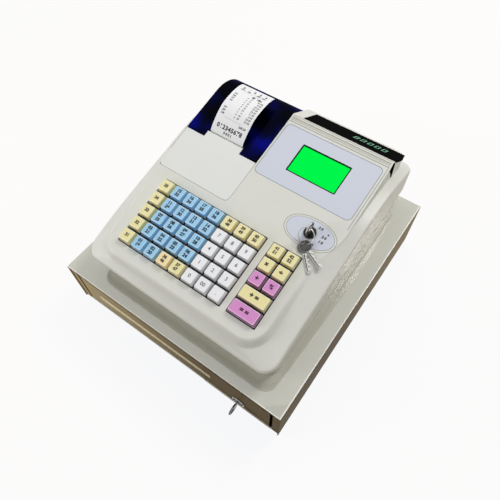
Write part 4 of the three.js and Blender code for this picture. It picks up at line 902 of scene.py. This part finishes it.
def receipt_paper():
    """The receipt, torn off just short of the lid's crest."""
    torn_y = 142
    bm = bmesh.new()
    bm.from_mesh(NODES["receipt_strip"].data)
    bmesh.ops.remove_doubles(bm, verts=bm.verts, dist=1e-6)
    cut = bmesh.ops.bisect_plane(bm, geom=bm.verts[:] + bm.edges[:] + bm.faces[:], clear_outer=True,
                                 plane_co=(0, torn_y * MM, 0), plane_no=(0, 1, 0))
    bmesh.ops.holes_fill(bm, edges=[e for e in cut["geom_cut"] if isinstance(e, bmesh.types.BMEdge)])
    me = bpy.data.meshes.new("receipt_paper")
    bm.to_mesh(me)
    bm.free()
    if "custom_normal" in me.attributes:
        me.attributes.remove(me.attributes["custom_normal"])
    me.materials.append(M["paper"])
    obj = finish_mesh("receipt_paper", me, "blue_lid_body", 32)
    weigh_normals(obj)
    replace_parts(obj, "receipt_strip")


def strip_table():
    """Rows along the receipt's face: distance, depth, height and the normal's y and z."""
    strip = BVHTree.FromObject(NODES["receipt_strip"], bpy.context.evaluated_depsgraph_get())
    table, travel, before = [], 0, None
    for y in np.linspace(60.5, 152, 240):
        hit, normal, _, _ = strip.ray_cast(Vector((RECEIPT_X, y, ABOVE)) * MM, DOWN)
        if hit is None:
            continue
        point = hit / MM
        if before is not None:
            travel += (point - before).length
        before = point
        table.append((travel, point.y, point.z, normal.y, normal.z))
    return np.array(table)


def receipt_print():
    """Plain figures on the receipt; s runs along the paper from the slot."""
    table = strip_table()
    lift = 0.05

    def on_paper(x, s):
        y, z, normal_y, normal_z = (np.interp(s, table[:, 0], column) for column in table[:, 1:].T)
        return RECEIPT_X + x, y + normal_y * lift, z + normal_z * lift
    figures = Build()
    rng = random.Random(5)

    def line(text, x, s, size, align="CENTER", bold=0.12, spacing=1.0):
        points, faces = text_mesh(text, size, align, spacing, bold)
        figures.add([on_paper(x + p.x, s + p.y) for p in points], faces, "ink")
    for k in range(5):
        line(str(k), 9.6 * (k - 2), 87, 6.4, bold=0.28)
    line("0001 - 1001  - - -  0001 1001", 0, 82.2, 3.7)
    line("- " * 15, 0, 79.2, 3.4, bold=0.1)
    line("00   1001", 3, 75.4, 4.4, "LEFT", 0.3)
    for k in range(9):
        s = 70.6 - 4.5 * k
        if k not in (4, 5):
            line(f"{rng.randint(100, 360)}", -24.5, s - 1, 3.7, "LEFT")
        line(f"{rng.randint(1, 9)}   {rng.randint(10, 40)}", -2, s, 3.8, "LEFT", 0.06)
        line(f"{rng.randint(2, 98)}.{rng.choice(('00', '50'))}", 25, s, 4.2, "RIGHT", 0.08)
    line("- " * 15, 0, 29.5, 3.4, bold=0.08)
    line("268.50", 24, 25, 4.6, "RIGHT")
    line("012345678", 0, 15.5, 8.8, bold=0.4, spacing=1.12)
    line("0 0 0 1", 0, 8.2, 5, bold=0.3)
    figures.done("receipt_print", "blue_lid_body")


# Cash drawer, rear plate and keys
def drawer_front_details():
    """Painted highlights on the media slot's beads and top hem, and painted shade in the gaps beside the
    front.
    """
    b = Build()

    def strip(x0, x1, z0, z1, out, back, mat, bevel):
        b.box((x0, DRAWER_FACE - out, z0), (x1, DRAWER_FACE + back, z1), mat, bevel)
    for z, high in ((44.3, 0.8), (50.4, 1.3)):
        strip(-140, 72, z, z + high, 1.3, 0.1, "cream", 0.2)
    for x in (-140.6, 71.8):
        strip(x, x + 0.8, 44.6, 51.5, 1.3, 0.1, "cream", 0.2)
    for x0, x1 in ((-176.9, -174.4), (173.2, 176.9)):
        strip(x0, x1, 12, 89.4, 0.25, 0.05, "gap", 0.08)
    strip(-173, 172.6, 89.5, 90.4, 0.3, 0.05, "hem", 0.1)
    b.done("drawer_front_details", "cash_drawer")


def fold_edges():
    """Painted highlights along the cabinet's folded edges, and painted shade in the gap under its top front
    edge.
    """
    b = Build()
    b.box((58, -199.6, 8.6), (177.4, -197.9, 9.4), "hem", 0.3)
    b.box((-177.6, -200.06, 91.9), (177.6, -199.8, 93), "gap", 0.05)
    b.box((-188.6, -199.4, 97.9), (188.6, -198.4, 98.04), "fold_highlight", 0.03)
    b.box((187.6, -199.4, 97.9), (189.4, 199, 98.05), "fold_highlight", 0.03)
    b.done("fold_edges", ROOT)


def rear_sockets():
    """Three inlets, each a bright shell, a black core and gold contacts, and two screws."""
    b = Build()
    low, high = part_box("rear_ports")
    outer = high.y / MM
    middle_z, half_x, half_z, sheet = 113, 8, 5.5, 0.8
    inner_x, inner_z = half_x - sheet, half_z - sheet
    walls = ((-half_x, -inner_x, -half_z, half_z), (inner_x, half_x, -half_z, half_z),
             (-inner_x, inner_x, -half_z, -inner_z), (-inner_x, inner_x, inner_z, half_z))

    def plate(x0, x1, z0, z1, back, front, mat, bevel):
        b.box((x0, outer + back, middle_z + z0), (x1, outer + front, middle_z + z1), mat, bevel)
    for x in (-92.8, -68.5, -44.9):
        for x0, x1, z0, z1 in walls:
            plate(x + x0, x + x1, z0, z1, -1.1, -0.1, "zinc", 0.12)
        plate(x - inner_x, x + inner_x, -inner_z, inner_z, -1.15, -0.95, "gap", 0.03)
        plate(x - 5.4, x + 5.4, -1.2, 1.6, -1, -0.45, "black", 0.2)
        for k in range(6):
            contact = x - 4.6 + 1.6 * k
            plate(contact, contact + 0.8, -0.7, 1.1, -0.6, -0.38, "gold", 0.08)
    for x in (-104.2, -35.8):
        place = Matrix.Translation((x, outer - 0.05, middle_z)) @ Matrix.Rotation(-90 * DEG, 4, "X")
        b.turned([(2.1, 0), (2.1, 0.45), (1.7, 0.65)], "zinc", place, 28)
        # The screw's slot is a dark strip of painted shade.
        plate(x - 1.4, x + 1.4, -0.25, 0.25, 0.55, 0.62, "gap", 0.02)
    b.done("rear_sockets", ROOT)


def coin_bow(b, place, centre, radius, hole, low, high):
    """A key's bow: a coin with a bright rim, a dark patterned sunken face and an off-centre hole."""
    steel, recess = "bow_steel", "recess"
    sunk = high - 0.25
    coin = ((radius - 0.35, low), (radius, low + 0.35), (radius, high - 0.35), (radius - 0.35, high),
            (radius - 1.2, high), (radius - 1.5, sunk))
    bore = ((hole + 0.75, sunk), (hole + 0.5, high), (hole, high), (hole, low))
    rings = [circle(hole, low)] + [circle(r, n, centre) for r, n in coin] + [circle(r, n) for r, n in bore]
    b.rings(rings, [steel] * 5 + [recess] * 2 + [steel] * 4, False, place)
    for k in range(-4, 5):
        for row in (0, 1.35, -1.35):
            dx, dy = k * 1.35, row * 1.6 - 1.2
            x, y = centre[0] + dx, centre[1] + dy
            if math.hypot(dx, dy) < radius - 2.3 and math.hypot(x, y) > hole + 1.6:
                b.box((x - 0.35, y - 0.5, high - 0.3), (x + 0.35, y + 0.5, high - 0.05), steel, 0.1, place)


def drawer_lock():
    """A chrome flange, a black ring round the plug, a keyway drawn as painted shade, and the key in it."""
    b = Build()
    place = Matrix.Translation(DRAWER_LOCK) @ Matrix.Rotation(90 * DEG, 4, "X")
    rings = [(8.7, -13.3, "zinc"), (8.7, 0, "chrome"), (10.6, 0, "chrome"), (10.6, 1, "rim"),
             (10.2, 1.4, "chrome"), (8.9, 1.4, "gap"), (8.5, 1, "gap"), (8.5, 0.5, "gap"), (6.1, 0.5, "rim"),
             (6.1, 1, "rim"), (5.7, 1.3, "recess")]
    b.turned([ring[:2] for ring in rings], [ring[2] for ring in rings], place, 48)
    b.box((-0.9, -3.6, 1.25), (0.9, 3.6, 1.36), "gap", 0.03, place)
    b.box((-1, -3, 1.3), (1, 3, 12), "chrome", 0.3, place)
    b.box((-1.25, -4.3, 2.6), (1.25, 4.3, 4.4), "chrome", 0.4, place)
    x, y, z = DRAWER_LOCK
    bow = Matrix(((0, 0, 1, x), (1, 0, 0, y - 16.9), (0, 1, 0, z), (0, 0, 0, 1)))
    coin_bow(b, bow, (3.9, 0), 9.5, 2.8, -1, 1)
    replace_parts(b.done("drawer_lock_detail", "drawer_lock_body", 40), "drawer_lock")


def blade(b, place, half, near, tip, low, high, bitting):
    """A flat blade along -Y with a dark strip of painted shade for its groove, bitting on its right edge and
    a pointed tip.
    """
    edges = [near] + [y for cut in bitting for y in cut] + [tip]
    for k, (start, end) in enumerate(zip(edges, edges[1:])):
        right = half - 1.6 if k % 2 else half
        b.box((-half, end, low), (right, start, high), "steel", 0.22, place)
    b.box((-half * 0.62, tip + 1.6, high - 0.02), (-half * 0.2, near - 0.5, high + 0.04), "recess", 0, place)
    point = ((-half, tip + 0.1), (half, tip + 0.1), (half * 0.25, tip - 1.6), (-half * 0.5, tip - 1.6))
    b.rings([[(x, y, n) for x, y in point] for n in (low, high)], "steel", True, place)


# The split ring hangs in the control key's bow and leans until it lies on the deck
BOW_HEIGHT, RING_RADIUS, WIRE = 15, 11, 1
RING_LEAN = math.asin((BOW_HEIGHT - WIRE - 0.4) / (2 * RING_RADIUS))
RING_V = LOCK_V - RING_RADIUS * math.cos(RING_LEAN)


def split_ring(b):
    height = BOW_HEIGHT - RING_RADIUS * math.sin(RING_LEAN)
    place = DECK @ Matrix.Translation((LOCK_X, RING_V, height)) @ Matrix.Rotation(RING_LEAN, 4, "X")
    for offset in (-0.45, 0.45):
        wire = arc(RING_RADIUS, offset, 0.52, 0, 360, 12)
        b.turned(wire, "steel", place, 64, False)


def spare_key(b, number, turn):
    """A key that lies on the deck from the ring's low end."""
    radius, length, thick = 8.6, 28.5, 1.8
    low = 0.4 + 1.5 * number
    end_v = RING_V - RING_RADIUS * math.cos(RING_LEAN)
    place = DECK @ Matrix.Translation((LOCK_X, end_v, 0)) @ Matrix.Rotation(turn * DEG, 4, "Z")
    coin_bow(b, place, (0, -6), radius, 2.1, low, low + thick)
    tip = -radius * 1.6 - length
    cuts = [(tip + length * (share + wide / 2), tip + length * (share - wide / 2))
            for share, wide in ((0.74, 0.1), (0.5, 0.14), (0.3, 0.1))]
    blade(b, place, 2.8, -13.6, tip + 1.7, low + 0.1, low + thick - 0.1, cuts)


def key_bunch():
    b = Build()
    split_ring(b)
    for number, turn in enumerate((43, 65)):
        spare_key(b, number, turn)
    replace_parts(b.done("spare_keys_and_ring", "key_bunch_body", 35), "key_bunch")


def control_key():
    """The key in the control lock: an upright ring with a groove darkened by painted shade, and the blade."""
    b = Build()
    place = DECK @ Matrix.Translation((LOCK_X, LOCK_V, BOW_HEIGHT)) @ Matrix.Rotation(90 * DEG, 4, "Y")
    profile = [(4.2, -1), (9.1, -1), (9.5, -0.6), (9.5, 0.6), (9.1, 1), (8.2, 1), (7.9, 0.8), (5.6, 0.8),
               (5.3, 1), (4.2, 1), (4.2, -1)]
    b.turned(profile, ["steel"] * 5 + ["recess"] * 3 + ["steel"] * 3, place, 48, False)
    b.box((LOCK_X - 1, LOCK_V - 3, 2.7), (LOCK_X + 1, LOCK_V + 3, 6.2), "steel", 0.25, DECK)
    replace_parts(b.done("control_key_detailed", "control_lock_body", 35), "control_key")


screens()
drawer_front_details()
fold_edges()
rear_sockets()
drawer_lock()
key_bunch()
control_key()
escutcheon()
fine_lines()
customer_figures()
receipt_print()
receipt_paper()


# Floor, light and camera
def seen(tree):
    """1 for rays from the camera that show the background, also mirrored or through glass."""
    path = add_node(tree, "LightPath")
    total = path.outputs["Is Camera Ray"]
    for kind in ("Is Glossy Ray", "Is Transmission Ray"):
        both = add_node(tree, "Math", {0: total, 1: path.outputs[kind]}, operation="ADD", use_clamp=True)
        total = both.outputs[0]
    return total


def floor_material():
    """Pale where it is seen, and warm and dim for the light that it throws back."""
    made = bpy.data.materials.new("floor")
    made.use_nodes = True
    tree = made.node_tree
    tree.nodes.clear()
    warm = add_node(tree, "BsdfDiffuse", {"Color": (0.4, 0.29, 0.17, 1)})
    pale = add_node(tree, "Emission", {"Color": (1, 1.02, 1.05, 1), "Strength": 1.22})
    share = add_node(tree, "Math", {0: seen(tree), 1: 0.72}, operation="MULTIPLY")
    mix = add_node(tree, "MixShader", {0: share.outputs[0], 1: warm.outputs[0], 2: pale.outputs[0]})
    add_node(tree, "OutputMaterial", {"Surface": mix.outputs[0]})
    return made


FLOOR_HALF = 9000
sides = ((-1, -1), (1, -1), (1, 1), (-1, 1))
floor = mesh_object("floor", [(x * FLOOR_HALF, y * FLOOR_HALF, 0) for x, y in sides], [[0, 1, 2, 3]])
floor.data.materials.append(floor_material())


def studio():
    """An even dim light from all round, white where it is seen."""
    world = bpy.data.worlds.new("studio")
    bpy.context.scene.world = world
    world.use_nodes = True
    tree = world.node_tree
    level = spread(tree, seen(tree), 0.39, 1)
    feed(tree, tree.nodes["Background"], {"Color": (0.98, 0.99, 1, 1), "Strength": level})


def lamp(name, place, aim, size, watts, color):
    light = bpy.data.lights.new(name, "AREA")
    light.size = size
    light.energy = watts
    light.color = color
    obj = link_object(name, light)
    obj.location = place
    obj.rotation_euler = (Vector(aim) - Vector(place)).to_track_quat("-Z", "Y").to_euler()


studio()
WARM = (1, 0.99, 0.97)
lamp("key", (0.62, 1.3, 1.9), (0, 0, 0.12), 0.6, 20, WARM)
lamp("panel", (-0.92, 1.18, 2.25), (0, 0, 0.12), 2.6, 14.5, WARM)
lamp("fill", (-1.22, -1.22, 0.6), (-0.02, -0.08, 0.12), 0.9, 11.5, (1, 1, 0.99))

# Camera, solved from the photograph for a cabinet 410 mm wide; its turn is a rotation vector
PICTURE_PIXELS, FOCAL_PIXELS, SENSOR = 500, 474.377974, 36
CAMERA_TURN = Vector((2.48559509, 0.793188302, -0.242177508))
CAMERA_PLACE = Vector((258.664893, -345.956571, 760.320336))
CABINET_WIDTH, SOLVED_WIDTH = 380, 410


def camera():
    lens = bpy.data.cameras.new("camera")
    lens.sensor_width = SENSOR
    lens.sensor_fit = "HORIZONTAL"
    lens.lens = FOCAL_PIXELS / PICTURE_PIXELS * SENSOR
    lens.clip_start = 0.01
    obj = link_object("camera", lens)
    right, down, ahead = Matrix.Rotation(CAMERA_TURN.length, 3, CAMERA_TURN.normalized())
    axes = Matrix((right, -down, -ahead)).transposed().to_4x4()
    obj.matrix_world = Matrix.Translation(CAMERA_PLACE * (CABINET_WIDTH / SOLVED_WIDTH) * MM) @ axes
    bpy.context.scene.camera = obj


camera()
bpy.context.scene.view_settings.view_transform = "Standard"
